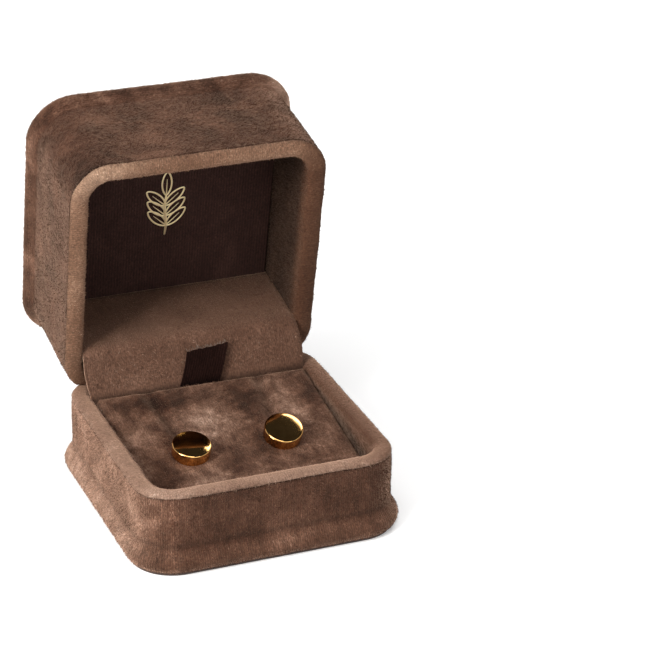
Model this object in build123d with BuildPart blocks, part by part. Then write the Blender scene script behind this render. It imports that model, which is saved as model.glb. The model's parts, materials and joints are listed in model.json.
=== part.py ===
from build123d import *
import math
import os

# Hinged earring box in millimetres, modelled open. The origin is the middle of the
# base's underside, +Z is up and the front of the box faces -Y.

# Walls of the box, measured over the velvet
wall_width = 55.0
wall_depth = 55.4
corner_radius = 8.4
base_height = 17.65
lid_height = 27.65
rim_gap = 0.3

# Layers of a wall, from outside to inside
cover_thickness = 0.8
shell_thickness = 2.2
lining_thickness = 0.8

# Swell of the base's foot and of the bead round the lid's top
swell = 1.7
foot_height = 5.6
bead_height = 4.6
swell_edge_share = 0.45
swell_crest_share = 0.35
swell_steps = 6

# Underside of the base
felt_thickness = 0.6
felt_margin = 0.6
turn_in_width = 6.0
underside_board_thickness = 1.2
board_clearance = 0.1
base_floor_thickness = 1.2

# Hinge: axis place, barrel, leaves, rivets and pin
open_angle = 80.2
axis_inset = 3.3
axis_rise = 0.95
bevel_gap = 0.15
barrel_radius = 1.1
barrel_clearance = 0.4
hinge_width = 32.0
knuckle_count = 5
knuckle_gap = 0.15
pin_radius = 0.5
pin_clearance = 0.05
pin_overhang = 0.2
leaf_thickness = 0.5
leaf_length = 9.6
leaf_root = 0.8
leaf_window_clearance = 0.2
rivet_count = 4
rivet_spacing = 7.0
rivet_drop = 6.4
rivet_radius = 0.75
rivet_clearance = 0.05
rivet_head_radius = 1.2
rivet_head_height = 0.5
rivet_depth = 1.6

# Bowed snap spring on the base's leaf
spring_width = 7.0
spring_thickness = 0.35
spring_foot = 2.0
spring_bow = 2.0
spring_tip_reach = 2.1
spring_tip_angle = 36.0

# Velvet flap over the hinge, stiffened in the lid by a board
flap_side_gap = 0.4
flap_inset = 11.0
flap_thickness = 0.8
flap_mouth_gap = 0.5
flap_board_thickness = 1.0
flap_board_start = 3.5
flap_radius = 5.3
flap_top_angle = 74.0
flap_tail_width = 43.4
flap_glue_top = 8.5
flap_glue_bottom = 3.6
flap_bend_top = 11.5
flap_notch_margin = 0.5
flap_notch_height = 10.0

# Lid: panel in its ceiling, shell top and padded top
panel_cover_thickness = 0.6
panel_board_thickness = 1.5
panel_clearance = 0.2
shell_top_thickness = 1.5
recess_inset = 2.2
recess_depth = 5.6
crown_rise = 2.0
crown_drop = 3.4
crown_clearance = 0.3
crown_draw_in = 0.4
crown_steps = 7
crown_flat = 1.0
top_board_thickness = 1.2

# Foil sprig on the panel
sprig_height = 15.4
sprig_center = (-0.6, -4.9)
sprig_thickness = 0.1
sprig_stem_width = 0.5
sprig_leaf_length = 4.6
sprig_leaf_width = 1.7
sprig_leaf_angle = 42.0
sprig_pairs = 3

# Sloping insert and the frame it stands on
pad_front_gap = 0.5
pad_side_gap = 0.9
pad_front_drop = 6.8
pad_slope = 9.8
pad_back_setback = 7.8
pad_flap_gap = 0.3
pad_cover_thickness = 0.8
pad_foam_thickness = 3.5
pad_card_thickness = 1.2
pad_edge_round = 1.6
pad_front_corner = 3.6
pad_back_corner = 1.0
pad_seat_gap = 0.1
slit_width = 0.5
slit_splay = 2.0
riser_thickness = 1.5
riser_inset = 0.8
riser_back_step = 0.3
riser_notch_margin = 0.5
riser_notch_depth = 1.0

# Pull ribbon behind the insert
ribbon_width = 9.0
ribbon_thickness = 0.35
ribbon_center = 1.1
ribbon_tail = 8.0
ribbon_behind = 0.15
ribbon_radius = 6.22
ribbon_top_angle = 55.0

# Stud earrings and their butterfly clutches
stud_radius = 4.0
stud_height = 2.5
stud_edge = 0.2
stud_spacing = 19.8
stud_shift = -0.5
stud_forward = 2.5
left_tilt = 5.0
right_tilt = 12.0
stud_seat_gap = 0.05
post_radius = 0.45
post_length = 10.2
post_hole_clearance = 0.2
clutch_width = 5.4
clutch_depth = 4.4
clutch_plate = 0.4
clutch_scroll_radius = 1.1
clutch_scroll_wall = 0.3
clutch_clearance = 0.06
clutch_gap = 0.1

# Levels and places that follow from the sizes above
wall_thickness = cover_thickness + shell_thickness + lining_thickness
lining_face = cover_thickness + shell_thickness
base_wrap_top = base_height - lining_thickness
turn_in_top = felt_thickness + cover_thickness
underside_board_top = felt_thickness + underside_board_thickness
base_floor = underside_board_top + base_floor_thickness
axis_y = wall_depth / 2 - axis_inset
axis_z = base_height + axis_rise
shell_back = wall_depth / 2 - lining_face
lid_mouth = base_height + rim_gap
lid_wrap_bottom = lid_mouth + lining_thickness
bead_top = lid_mouth + lid_height
recess_floor = bead_top - recess_depth
shell_top_under = recess_floor - shell_top_thickness
panel_back = shell_top_under - panel_board_thickness
panel_face = panel_back - panel_cover_thickness
lid_cavity_depth = panel_face - lid_mouth
crown_top = bead_top + crown_rise
crown_inset = recess_inset + cover_thickness + crown_clearance
pad_thickness = pad_cover_thickness + pad_foam_thickness + pad_card_thickness
pad_half_width = wall_width / 2 - wall_thickness - pad_side_gap
pad_front = -wall_depth / 2 + wall_thickness + pad_front_gap
pad_back = axis_y - pad_back_setback
stud_y = (pad_front + pad_back) / 2 - stud_forward
flap_face = wall_depth / 2 - flap_inset
pad_trim = flap_face - pad_flap_gap

# The lid's frame has the closed box's own coordinates, turned open about the hinge axis
open_sine = math.sin(math.radians(open_angle))
open_cosine = math.cos(math.radians(open_angle))
lid_frame = Plane(
    origin=(
        0,
        axis_y - axis_y * open_cosine - axis_z * open_sine,
        axis_z + axis_y * open_sine - axis_z * open_cosine,
    ),
    x_dir=(1, 0, 0),
    z_dir=(0, open_sine, open_cosine),
)


def side_plane(frame, x=0.0):
    """Plane across a frame whose own X and Y run along the frame's Y and Z."""
    return Plane(origin=frame.from_local_coords((x, 0, 0)), x_dir=frame.y_dir, z_dir=frame.x_dir)


def facing_plane(frame, y):
    """Plane at a depth in a frame, facing the front, with X across and Y up."""
    return Plane(origin=frame.from_local_coords((0, y, 0)), x_dir=frame.x_dir, z_dir=-frame.y_dir)


def wall_outline(standout):
    """Width, depth and corner radius of the wall's outline, moved outwards by standout."""
    return wall_width + 2 * standout, wall_depth + 2 * standout, corner_radius + standout


def swell_at(distance, height):
    """Standout of the foot or bead, at a distance from its outer end over its height."""
    share = min(max(distance / height, 0.0), 1.0)
    if share < swell_crest_share:
        rest = 1 - share / swell_crest_share
        return swell * (1 - (1 - swell_edge_share) * rest**2)
    turn = math.pi * (share - swell_crest_share) / (1 - swell_crest_share)
    return swell * (1 + math.cos(turn)) / 2


def swell_levels(height):
    """Distances from the outer end at which the foot or bead gets a section."""
    return [height * step / swell_steps for step in range(swell_steps + 1)]


def stacked_form(frame, sections):
    """Ruled solid through outlines of the wall, given as pairs of height and standout."""
    with BuildPart() as form:
        for height, standout in sections:
            with BuildSketch(frame.offset(height)):
                RectangleRounded(*wall_outline(standout))
        loft(ruled=True)
    return form.part


def base_form(bottom, top, inset):
    """Outer form of the base from bottom to top, inset from the velvet's face."""
    levels = [bottom + distance for distance in swell_levels(foot_height)] + [top]
    return stacked_form(
        Plane.XY, [(level, swell_at(level - felt_thickness, foot_height) - inset) for level in levels]
    )


def lid_form(bottom, top, inset):
    """Outer form of the lid from bottom to top, inset from the velvet's face."""
    levels = [bottom] + [top - distance for distance in reversed(swell_levels(bead_height))]
    return stacked_form(
        lid_frame, [(level, swell_at(bead_top - level, bead_height) - inset) for level in levels]
    )


def knuckle_spans(first):
    """Middles of every second knuckle, starting with the first, and a knuckle's length."""
    pitch = hinge_width / knuckle_count
    middles = [-hinge_width / 2 + pitch * (index + 0.5) for index in range(first, knuckle_count, 2)]
    return middles, pitch - knuckle_gap


def rivet_points():
    """Places of the rivets across the hinge, kept clear of the spring in the middle."""
    half = rivet_count // 2
    inner = spring_width / 2 + rivet_head_radius + rivet_spacing / 4
    right = [inner + rivet_spacing * index for index in range(half)]
    return [-x for x in reversed(right)] + right


def hinge_relief(frame, side):
    """Space that a body leaves round the hinge: bevel, barrel pocket and leaf window.

    side is 1 for the base, which lies below the axis, and -1 for the lid.
    """
    bevel = math.radians(open_angle / 2)
    reach = wall_depth
    start_y = axis_y - bevel_gap * math.sin(bevel)
    start_z = axis_z - side * bevel_gap * math.cos(bevel)
    end_y = start_y + reach * math.cos(bevel)
    end_z = start_z - side * reach * math.sin(bevel)
    window_half = hinge_width / 2 + leaf_window_clearance
    window_end = axis_z - side * (leaf_length + leaf_window_clearance)
    with BuildPart() as relief:
        with BuildSketch(side_plane(frame)):
            with BuildLine():
                Polyline(
                    (start_y, start_z),
                    (end_y, end_z),
                    (end_y, axis_z + side * reach),
                    (start_y, axis_z + side * reach),
                    close=True,
                )
            make_face()
        extrude(amount=wall_width, both=True)
        with BuildSketch(side_plane(frame)):
            with Locations((axis_y, axis_z)):
                Circle(barrel_radius + barrel_clearance)
        extrude(amount=window_half, both=True)
        with BuildSketch(side_plane(frame)):
            with BuildLine():
                Polyline(
                    (shell_back - 2 * lining_thickness, axis_z + side * axis_rise),
                    (shell_back, axis_z + side * axis_rise),
                    (shell_back, window_end),
                    (shell_back - 2 * lining_thickness, window_end),
                    close=True,
                )
            make_face()
        extrude(amount=window_half, both=True)
    return relief.part


def hinge_leaf(frame, side, first_knuckle):
    """Leaf with its knuckles, drilled for the rivets. side is as in hinge_relief."""
    own_middles, knuckle_length = knuckle_spans(first_knuckle)
    other_middles, _ = knuckle_spans(1 - first_knuckle)
    far_end = axis_z - side * leaf_length
    near_end = axis_z - side * leaf_root
    with BuildPart() as leaf:
        with BuildSketch(facing_plane(frame, shell_back)):
            with Locations((0, (far_end + near_end) / 2)):
                Rectangle(hinge_width, abs(near_end - far_end))
            with Locations(*[(x, axis_z) for x in other_middles]):
                Rectangle(
                    knuckle_length + 3 * knuckle_gap,
                    2 * (barrel_radius + barrel_clearance),
                    mode=Mode.SUBTRACT,
                )
            with Locations(*[(x, axis_z - side * rivet_drop) for x in rivet_points()]):
                Circle(rivet_radius + rivet_clearance, mode=Mode.SUBTRACT)
        extrude(amount=leaf_thickness)
        for x in own_middles:
            with BuildSketch(side_plane(frame, x)):
                with Locations((axis_y, axis_z)):
                    Circle(barrel_radius)
            extrude(amount=knuckle_length / 2, both=True)
        with BuildSketch(side_plane(frame)):
            with Locations((axis_y, axis_z)):
                Circle(pin_radius + pin_clearance)
        extrude(amount=hinge_width, both=True, mode=Mode.SUBTRACT)
    return leaf


def hinge_rivets(frame, side):
    """Rivets that hold a leaf to its shell, as one group of separate solids."""
    with BuildPart() as rivets:
        with BuildSketch(facing_plane(frame, shell_back - leaf_thickness)):
            with Locations(*[(x, axis_z - side * rivet_drop) for x in rivet_points()]):
                Circle(rivet_head_radius)
        extrude(amount=rivet_head_height)
        with BuildSketch(facing_plane(frame, shell_back - leaf_thickness)):
            with Locations(*[(x, axis_z - side * rivet_drop) for x in rivet_points()]):
                Circle(rivet_radius)
        extrude(amount=-(leaf_thickness + rivet_depth))
    return rivets


def rivet_holes(frame, side):
    """Blind holes in a shell for the rivets."""
    with BuildPart() as holes:
        with BuildSketch(facing_plane(frame, shell_back)):
            with Locations(*[(x, axis_z - side * rivet_drop) for x in rivet_points()]):
                Circle(rivet_radius + rivet_clearance)
        extrude(amount=-(rivet_depth + rivet_clearance))
    return holes.part


def rim_lining(frame, side, rim, far_end):
    """Lining folded over a rim and down the inner face of the walls to far_end."""
    with BuildPart() as lining:
        with BuildSketch(frame.offset(rim)):
            RectangleRounded(*wall_outline(0))
        extrude(amount=-side * lining_thickness)
        with BuildSketch(frame.offset(rim)):
            RectangleRounded(*wall_outline(-lining_face))
        extrude(amount=far_end - rim)
        with BuildSketch(frame.offset(rim)):
            RectangleRounded(*wall_outline(-wall_thickness))
        extrude(amount=far_end - rim, mode=Mode.SUBTRACT)
        add(hinge_relief(frame, side), mode=Mode.SUBTRACT)
    return lining


# Shell of the base: a moulded tray with a recess under its floor
with BuildPart() as base_shell:
    add(base_form(turn_in_top, base_wrap_top, cover_thickness))
    with BuildSketch(Plane.XY.offset(base_floor)):
        RectangleRounded(*wall_outline(-lining_face))
    extrude(amount=base_height, mode=Mode.SUBTRACT)
    with BuildSketch(Plane.XY.offset(underside_board_top)):
        RectangleRounded(*wall_outline(swell - turn_in_width + board_clearance))
    extrude(amount=-underside_board_thickness, mode=Mode.SUBTRACT)
    add(hinge_relief(Plane.XY, 1), mode=Mode.SUBTRACT)
    add(rivet_holes(Plane.XY, 1), mode=Mode.SUBTRACT)

# Velvet round the outside of the base, turned in under the foot
with BuildPart() as base_outer_wrap:
    add(base_form(felt_thickness, base_wrap_top, 0))
    add(base_form(turn_in_top, base_wrap_top, cover_thickness), mode=Mode.SUBTRACT)
    with BuildSketch(Plane.XY):
        RectangleRounded(*wall_outline(swell - turn_in_width + board_clearance))
    extrude(amount=base_height, mode=Mode.SUBTRACT)
    add(hinge_relief(Plane.XY, 1), mode=Mode.SUBTRACT)

# Lining of the base, folded over its rim
base_rim_lining = rim_lining(Plane.XY, 1, base_height, base_floor)

# Board that closes the underside
with BuildPart() as underside_board:
    with BuildSketch(Plane.XY.offset(felt_thickness)):
        RectangleRounded(*wall_outline(swell - turn_in_width))
    extrude(amount=underside_board_thickness)

# Felt that the box rests on
with BuildPart() as underside_felt:
    with BuildSketch(Plane.XY):
        RectangleRounded(*wall_outline(swell_at(0, foot_height) - felt_margin))
    extrude(amount=felt_thickness)

# Hinge: a leaf on each shell, their rivets and the pin
hinge_base_leaf = hinge_leaf(Plane.XY, 1, 0)
hinge_lid_leaf = hinge_leaf(lid_frame, -1, 1)
hinge_base_rivets = hinge_rivets(Plane.XY, 1)
hinge_lid_rivets = hinge_rivets(lid_frame, -1)

with BuildPart() as hinge_pin:
    with BuildSketch(side_plane(Plane.XY)):
        with Locations((axis_y, axis_z)):
            Circle(pin_radius)
    extrude(amount=hinge_width / 2 + pin_overhang, both=True)
    chamfer(hinge_pin.edges().filter_by(GeomType.CIRCLE), length=pin_overhang / 2)

# Snap spring: foot on the base's leaf, bow towards the front and tip near the barrel
spring_line = shell_back - leaf_thickness - spring_thickness / 2
spring_bottom = axis_z - leaf_length
spring_tip = (
    axis_y - spring_tip_reach * math.sin(math.radians(spring_tip_angle)),
    axis_z - spring_tip_reach * math.cos(math.radians(spring_tip_angle)),
)
with BuildPart() as snap_spring:
    with BuildSketch(side_plane(Plane.XY)):
        with BuildLine() as spring_path:
            Line((spring_line, spring_bottom), (spring_line, spring_bottom + spring_foot))
            ThreePointArc(
                (spring_line, spring_bottom + spring_foot),
                (spring_line - spring_bow, (spring_bottom + spring_foot + spring_tip[1]) / 2),
                spring_tip,
            )
        trace(spring_path.line, line_width=spring_thickness)
    extrude(amount=spring_width / 2, both=True)

# Frame on the base's floor that carries the insert at its slope
slope = math.radians(pad_slope)
pad_origin_y = (pad_front + pad_back) / 2
pad_origin_z = base_height - pad_front_drop + (pad_origin_y - pad_front) * math.tan(slope)
pad_length = (pad_back - pad_front) / math.cos(slope)
pad_frame = Plane(
    origin=(0, pad_origin_y, pad_origin_z),
    x_dir=(1, 0, 0),
    z_dir=(0, -math.sin(slope), math.cos(slope)),
)
pad_lean = pad_thickness * math.sin(slope)
riser_width = 2 * (pad_half_width - riser_inset)
riser_back = pad_back + pad_lean - riser_back_step
riser_depth = riser_back - (pad_front + pad_lean + riser_inset)
riser_middle = riser_back - riser_depth / 2
with BuildPart() as riser_frame:
    with BuildSketch(Plane.XY.offset(base_floor)):
        with Locations((0, riser_middle)):
            RectangleRounded(riser_width, riser_depth, pad_back_corner)
            Rectangle(
                riser_width - 2 * riser_thickness,
                riser_depth - 2 * riser_thickness,
                mode=Mode.SUBTRACT,
            )
    extrude(amount=base_height)
    split(bisect_by=pad_frame.offset(-pad_thickness - pad_seat_gap), keep=Keep.BOTTOM)
    with BuildSketch(pad_frame.offset(-pad_thickness - riser_notch_depth)):
        with Locations((ribbon_center, pad_length / 2 - ribbon_tail / 2)):
            Rectangle(ribbon_width + 2 * riser_notch_margin, ribbon_tail + 2 * riser_notch_margin)
    extrude(amount=pad_thickness, mode=Mode.SUBTRACT)

# Tail of the velvet flap in the base: glued to the frame, then round the hinge axis
flap_line = riser_back + flap_thickness / 2
with BuildPart() as flap_tail:
    with BuildSketch(side_plane(Plane.XY)):
        with BuildLine() as flap_path:
            Polyline(
                (flap_line, flap_glue_bottom),
                (flap_line, flap_glue_top),
                (axis_y - flap_radius, flap_bend_top),
                (axis_y - flap_radius, axis_z),
            )
            CenterArc((axis_y, axis_z), flap_radius, 180, -flap_top_angle)
        trace(flap_path.line, line_width=flap_thickness)
    extrude(amount=flap_tail_width / 2, both=True)


def pad_outline(inset):
    """Face of the insert's outline in its own plane, inset from the cover's sides."""
    with BuildSketch() as outline:
        Rectangle(2 * (pad_half_width - inset), pad_length - 2 * inset)
        fillet(outline.vertices().group_by(Axis.Y)[0], radius=pad_front_corner - inset)
        fillet(outline.vertices().group_by(Axis.Y)[-1], radius=pad_back_corner - inset / 2)
    return outline.sketch


def back_plane(inset):
    """Upright plane that trims the insert's back, so that it lifts clear of the flap."""
    return Plane(origin=(0, pad_trim - inset, 0), x_dir=(1, 0, 0), z_dir=(0, -1, 0))


def stud_frame(x, tilt):
    """Frame of a stud: origin under its disc, Z up its post, leaning to the front by tilt."""
    lean = math.radians(pad_slope + tilt)
    lift = stud_radius * math.sin(math.radians(tilt)) + stud_seat_gap
    pad_y = (stud_y - pad_origin_y) / math.cos(slope)
    return Plane(
        origin=pad_frame.from_local_coords((x, pad_y, lift)),
        x_dir=(1, 0, 0),
        z_dir=(0, -math.sin(lean), math.cos(lean)),
    )


def post_hole(frame):
    """Space that a post takes in the insert."""
    with BuildPart() as hole:
        with BuildSketch(frame):
            Circle(post_radius + post_hole_clearance)
        extrude(amount=post_length, both=True)
    return hole.part


def slit(x):
    """Slit in the pad from its back edge to a post."""
    start = (x + math.copysign(slit_splay, x), pad_length / 2 + pad_edge_round)
    end = (x, (stud_y - pad_origin_y) / math.cos(slope))
    with BuildPart() as cut:
        with BuildSketch(pad_frame.offset(-pad_cover_thickness - pad_foam_thickness)):
            with BuildLine() as slit_path:
                Line(start, end)
            trace(slit_path.line, line_width=slit_width)
        extrude(amount=pad_thickness)
    return cut.part


left_x = stud_shift - stud_spacing / 2
right_x = stud_shift + stud_spacing / 2
left_frame = stud_frame(left_x, left_tilt)
right_frame = stud_frame(right_x, right_tilt)
pad_axis = Axis(pad_frame.origin, pad_frame.z_dir)
pad_cuts = [post_hole(left_frame), post_hole(right_frame)]
pad_slits = [slit(left_x), slit(right_x)]

# Card under the insert
with BuildPart() as insert_card:
    with BuildSketch(pad_frame.offset(-pad_thickness)):
        add(pad_outline(pad_cover_thickness))
    extrude(amount=pad_card_thickness)
    split(bisect_by=back_plane(pad_cover_thickness))
    add(pad_cuts, mode=Mode.SUBTRACT)

# Foam of the insert, rounded at its upper edge
with BuildPart() as insert_foam:
    with BuildSketch(pad_frame.offset(pad_card_thickness - pad_thickness)):
        add(pad_outline(pad_cover_thickness))
    extrude(amount=pad_foam_thickness)
    fillet(
        insert_foam.faces().sort_by(pad_axis)[-1].edges(),
        radius=pad_edge_round - pad_cover_thickness,
    )
    split(bisect_by=back_plane(pad_cover_thickness))
    add(pad_cuts + pad_slits, mode=Mode.SUBTRACT)

# Velvet over the insert, slit from the back edge to each post
with BuildPart() as insert_cover:
    with BuildSketch(pad_frame.offset(-pad_thickness)):
        add(pad_outline(0))
    extrude(amount=pad_thickness)
    fillet(insert_cover.faces().sort_by(pad_axis)[-1].edges(), radius=pad_edge_round)
    split(bisect_by=back_plane(0))
    add(insert_card.part, mode=Mode.SUBTRACT)
    add(insert_foam.part, mode=Mode.SUBTRACT)
    add(pad_cuts + pad_slits, mode=Mode.SUBTRACT)

# Ribbon glued under the card, brought up behind the insert to lift it out
ribbon_under = -pad_thickness - ribbon_thickness / 2
ribbon_end = pad_length / 2 + ribbon_behind + ribbon_thickness / 2
ribbon_points = [
    pad_frame.from_local_coords((0, pad_length / 2 - ribbon_tail, ribbon_under)),
    pad_frame.from_local_coords((0, ribbon_end, ribbon_under)),
]
with BuildPart() as pull_ribbon:
    with BuildSketch(side_plane(Plane.XY, ribbon_center)):
        with BuildLine() as ribbon_path:
            Polyline(*[(point.Y, point.Z) for point in ribbon_points], (axis_y - ribbon_radius, axis_z))
            CenterArc((axis_y, axis_z), ribbon_radius, 180, -ribbon_top_angle)
        trace(ribbon_path.line, line_width=ribbon_thickness)
    extrude(amount=ribbon_width / 2, both=True)


def stud(frame):
    """Stud earring: a disc and, under it, the post soldered to it."""
    with BuildPart() as piece:
        with BuildSketch(frame):
            Circle(stud_radius)
        extrude(amount=stud_height)
        chamfer(piece.edges().filter_by(GeomType.CIRCLE), length=stud_edge)
        with BuildSketch(frame.offset(-post_length)):
            Circle(post_radius)
        extrude(amount=post_length)
        chamfer(piece.faces().sort_by(Axis(frame.origin, frame.z_dir))[0].edges(), length=post_radius / 2)
    return piece


def clutch(frame, tilt):
    """Butterfly clutch on a post under the card: a plate with two rolled wings."""
    lean = math.radians(tilt)
    lift = stud_radius * math.sin(lean) + stud_seat_gap
    down = (pad_thickness + lift) / math.cos(lean) + clutch_width / 2 * math.tan(lean) + clutch_gap
    top = frame.offset(-down)
    scroll_x = post_radius + clutch_clearance + clutch_scroll_radius
    scroll_z = -clutch_scroll_radius - clutch_plate / 2
    with BuildPart() as piece:
        with BuildSketch(top):
            RectangleRounded(clutch_width, clutch_depth, clutch_depth / 4)
        extrude(amount=-clutch_plate)
        for x in (-scroll_x, scroll_x):
            scroll = Plane(origin=top.from_local_coords((x, 0, scroll_z)), x_dir=top.x_dir, z_dir=top.y_dir)
            with BuildSketch(scroll):
                Circle(clutch_scroll_radius)
                Circle(clutch_scroll_radius - clutch_scroll_wall, mode=Mode.SUBTRACT)
            extrude(amount=clutch_depth / 2 - clutch_plate, both=True)
        with BuildSketch(top):
            Circle(post_radius + clutch_clearance)
        extrude(amount=-clutch_plate, mode=Mode.SUBTRACT)
    return piece


# Pair of stud earrings held by the insert
left_stud = stud(left_frame)
right_stud = stud(right_frame)
left_clutch = clutch(left_frame, left_tilt)
right_clutch = clutch(right_frame, right_tilt)

# Shell of the lid: walls, a top plate and a recess for the padded top
with BuildPart() as lid_shell:
    add(lid_form(lid_wrap_bottom, bead_top - cover_thickness, cover_thickness))
    with BuildSketch(lid_frame.offset(lid_mouth)):
        RectangleRounded(*wall_outline(-lining_face))
    extrude(amount=shell_top_under - lid_mouth, mode=Mode.SUBTRACT)
    with BuildSketch(lid_frame.offset(recess_floor)):
        RectangleRounded(*wall_outline(-recess_inset))
    extrude(amount=lid_height, mode=Mode.SUBTRACT)
    add(hinge_relief(lid_frame, -1), mode=Mode.SUBTRACT)
    add(rivet_holes(lid_frame, -1), mode=Mode.SUBTRACT)

# Velvet round the outside of the lid, over the bead and down into the recess
with BuildPart() as lid_outer_wrap:
    add(lid_form(lid_wrap_bottom, bead_top, 0))
    add(lid_form(lid_wrap_bottom, bead_top - cover_thickness, cover_thickness), mode=Mode.SUBTRACT)
    with BuildSketch(lid_frame.offset(recess_floor)):
        RectangleRounded(*wall_outline(-recess_inset))
    extrude(amount=bead_top - recess_floor)
    with BuildSketch(lid_frame.offset(recess_floor)):
        RectangleRounded(*wall_outline(-recess_inset - cover_thickness))
    extrude(amount=lid_height, mode=Mode.SUBTRACT)
    add(hinge_relief(lid_frame, -1), mode=Mode.SUBTRACT)

# Lining of the lid, folded over its rim
lid_rim_lining = rim_lining(lid_frame, -1, lid_mouth, shell_top_under)

# Panel in the ceiling of the lid
with BuildPart() as lid_panel_board:
    with BuildSketch(lid_frame.offset(panel_back)):
        RectangleRounded(*wall_outline(-wall_thickness - panel_clearance))
    extrude(amount=panel_board_thickness)

with BuildPart() as lid_panel_cover:
    with BuildSketch(lid_frame.offset(panel_face)):
        RectangleRounded(*wall_outline(-wall_thickness - panel_clearance))
    extrude(amount=panel_cover_thickness)

# Foil sprig: a stem with pairs of leaves and one at its tip, growing towards the mouth's front
with BuildSketch() as sprig_leaf:
    with BuildLine():
        ThreePointArc((0, 0), (sprig_leaf_length / 2, sprig_leaf_width / 2), (sprig_leaf_length, 0))
        ThreePointArc((sprig_leaf_length, 0), (sprig_leaf_length / 2, -sprig_leaf_width / 2), (0, 0))
    make_face()

sprig_x, sprig_y = sprig_center
sprig_foot = sprig_y + sprig_height / 2
sprig_stem = sprig_height - sprig_leaf_length
sprig_pitch = sprig_stem / (sprig_pairs + 1)
with BuildPart() as lid_ornament:
    with BuildSketch(lid_frame.offset(panel_face - sprig_thickness)):
        with Locations((sprig_x, sprig_foot - sprig_stem / 2)):
            Rectangle(sprig_stem_width, sprig_stem + sprig_stem_width)
        with Locations(Location((sprig_x, sprig_foot - sprig_stem), -90)):
            add(sprig_leaf.sketch)
        for pair in range(1, sprig_pairs + 1):
            for turn in (-sprig_leaf_angle, sprig_leaf_angle):
                with Locations(Location((sprig_x, sprig_foot - pair * sprig_pitch), turn - 90)):
                    add(sprig_leaf.sketch)
    extrude(amount=sprig_thickness)

# Velvet flap over the hinge in the lid, and the board that stiffens it, notched for the ribbon
flap_half_width = wall_width / 2 - wall_thickness - flap_side_gap
with BuildPart() as lid_flap_cover:
    with BuildSketch(lid_frame.offset(lid_mouth + flap_mouth_gap)):
        with Locations((0, flap_face + flap_thickness / 2)):
            Rectangle(2 * flap_half_width, flap_thickness)
    extrude(amount=lid_cavity_depth - flap_mouth_gap)

with BuildPart() as lid_flap_board:
    with BuildSketch(lid_frame.offset(lid_mouth + flap_board_start)):
        with Locations((0, flap_face + flap_thickness + flap_board_thickness / 2)):
            Rectangle(2 * flap_half_width, flap_board_thickness)
    extrude(amount=lid_cavity_depth - flap_board_start)
    with BuildSketch(lid_frame.offset(lid_mouth + flap_board_start)):
        with Locations((ribbon_center, flap_face + flap_thickness + flap_board_thickness / 2)):
            Rectangle(ribbon_width + 2 * flap_notch_margin, flap_board_thickness)
    extrude(amount=flap_notch_height, mode=Mode.SUBTRACT)

# Padded top of the lid: crowned, drawn in towards its foot, with a groove round it
crown_radius = corner_radius - crown_inset
crown_reach = (min(wall_width, wall_depth) - crown_flat) / 2 - crown_inset - crown_radius


def crown_outline(inset, shrink):
    """Width, depth and corner radius of the padded top, inset and then shrunk by its cover."""
    inwards = 2 * (inset + shrink)
    return wall_width - inwards, wall_depth - inwards, crown_radius - shrink


def crown_form(shrink):
    """Solid of the padded top from the recess's floor, smaller by shrink on its outside."""
    shares = [(step / crown_steps) ** 2 for step in range(crown_steps + 1)]
    insets = [crown_inset + crown_draw_in] + [crown_inset + share * crown_reach for share in shares]
    levels = [recess_floor] + [crown_top - crown_drop * (1 - share) ** 4 - shrink for share in shares]
    with BuildPart() as form:
        for level, inset in zip(levels, insets):
            with BuildSketch(lid_frame.offset(level)):
                RectangleRounded(*crown_outline(inset, shrink))
        loft(ruled=True)
    return form.part


crown_core = crown_form(cover_thickness)
with BuildPart() as lid_top_board:
    with BuildSketch(lid_frame.offset(recess_floor)):
        RectangleRounded(*crown_outline(crown_inset + crown_draw_in, cover_thickness))
    extrude(amount=top_board_thickness)

with BuildPart() as lid_top_foam:
    add(crown_core)
    with BuildSketch(lid_frame.offset(recess_floor)):
        RectangleRounded(*wall_outline(0))
    extrude(amount=top_board_thickness, mode=Mode.SUBTRACT)

with BuildPart() as lid_top_cover:
    add(crown_form(0))
    add(crown_core, mode=Mode.SUBTRACT)

EXPORTS = {
    "base_shell": base_shell,
    "base_outer_wrap": base_outer_wrap,
    "base_rim_lining": base_rim_lining,
    "underside_board": underside_board,
    "underside_felt": underside_felt,
    "hinge_base_leaf": hinge_base_leaf,
    "hinge_lid_leaf": hinge_lid_leaf,
    "hinge_base_rivets": hinge_base_rivets,
    "hinge_lid_rivets": hinge_lid_rivets,
    "hinge_pin": hinge_pin,
    "snap_spring": snap_spring,
    "riser_frame": riser_frame,
    "flap_tail": flap_tail,
    "insert_card": insert_card,
    "insert_foam": insert_foam,
    "insert_cover": insert_cover,
    "pull_ribbon": pull_ribbon,
    "left_stud": left_stud,
    "right_stud": right_stud,
    "left_clutch": left_clutch,
    "right_clutch": right_clutch,
    "lid_shell": lid_shell,
    "lid_outer_wrap": lid_outer_wrap,
    "lid_rim_lining": lid_rim_lining,
    "lid_panel_board": lid_panel_board,
    "lid_panel_cover": lid_panel_cover,
    "lid_ornament": lid_ornament,
    "lid_flap_cover": lid_flap_cover,
    "lid_flap_board": lid_flap_board,
    "lid_top_board": lid_top_board,
    "lid_top_foam": lid_top_foam,
    "lid_top_cover": lid_top_cover,
}
os.makedirs("parts", exist_ok=True)
for name, piece in EXPORTS.items():
    piece.part.label = name
    export_step(piece.part, f"parts/{name}.step")
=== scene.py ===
"""Velvet earring box: its cloth, gold and studio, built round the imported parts.

Lengths are millimetres in the box's own frame, until build_piece() turns them into metres.
The lid's pieces are worked out on the closed box and then turned open about the hinge.
"""

import json
import logging
import math
from dataclasses import dataclass, field
from enum import Enum
from functools import cache
from typing import Sequence

import bmesh
import bpy
import numpy as np
from mathutils import Matrix, Vector


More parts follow.
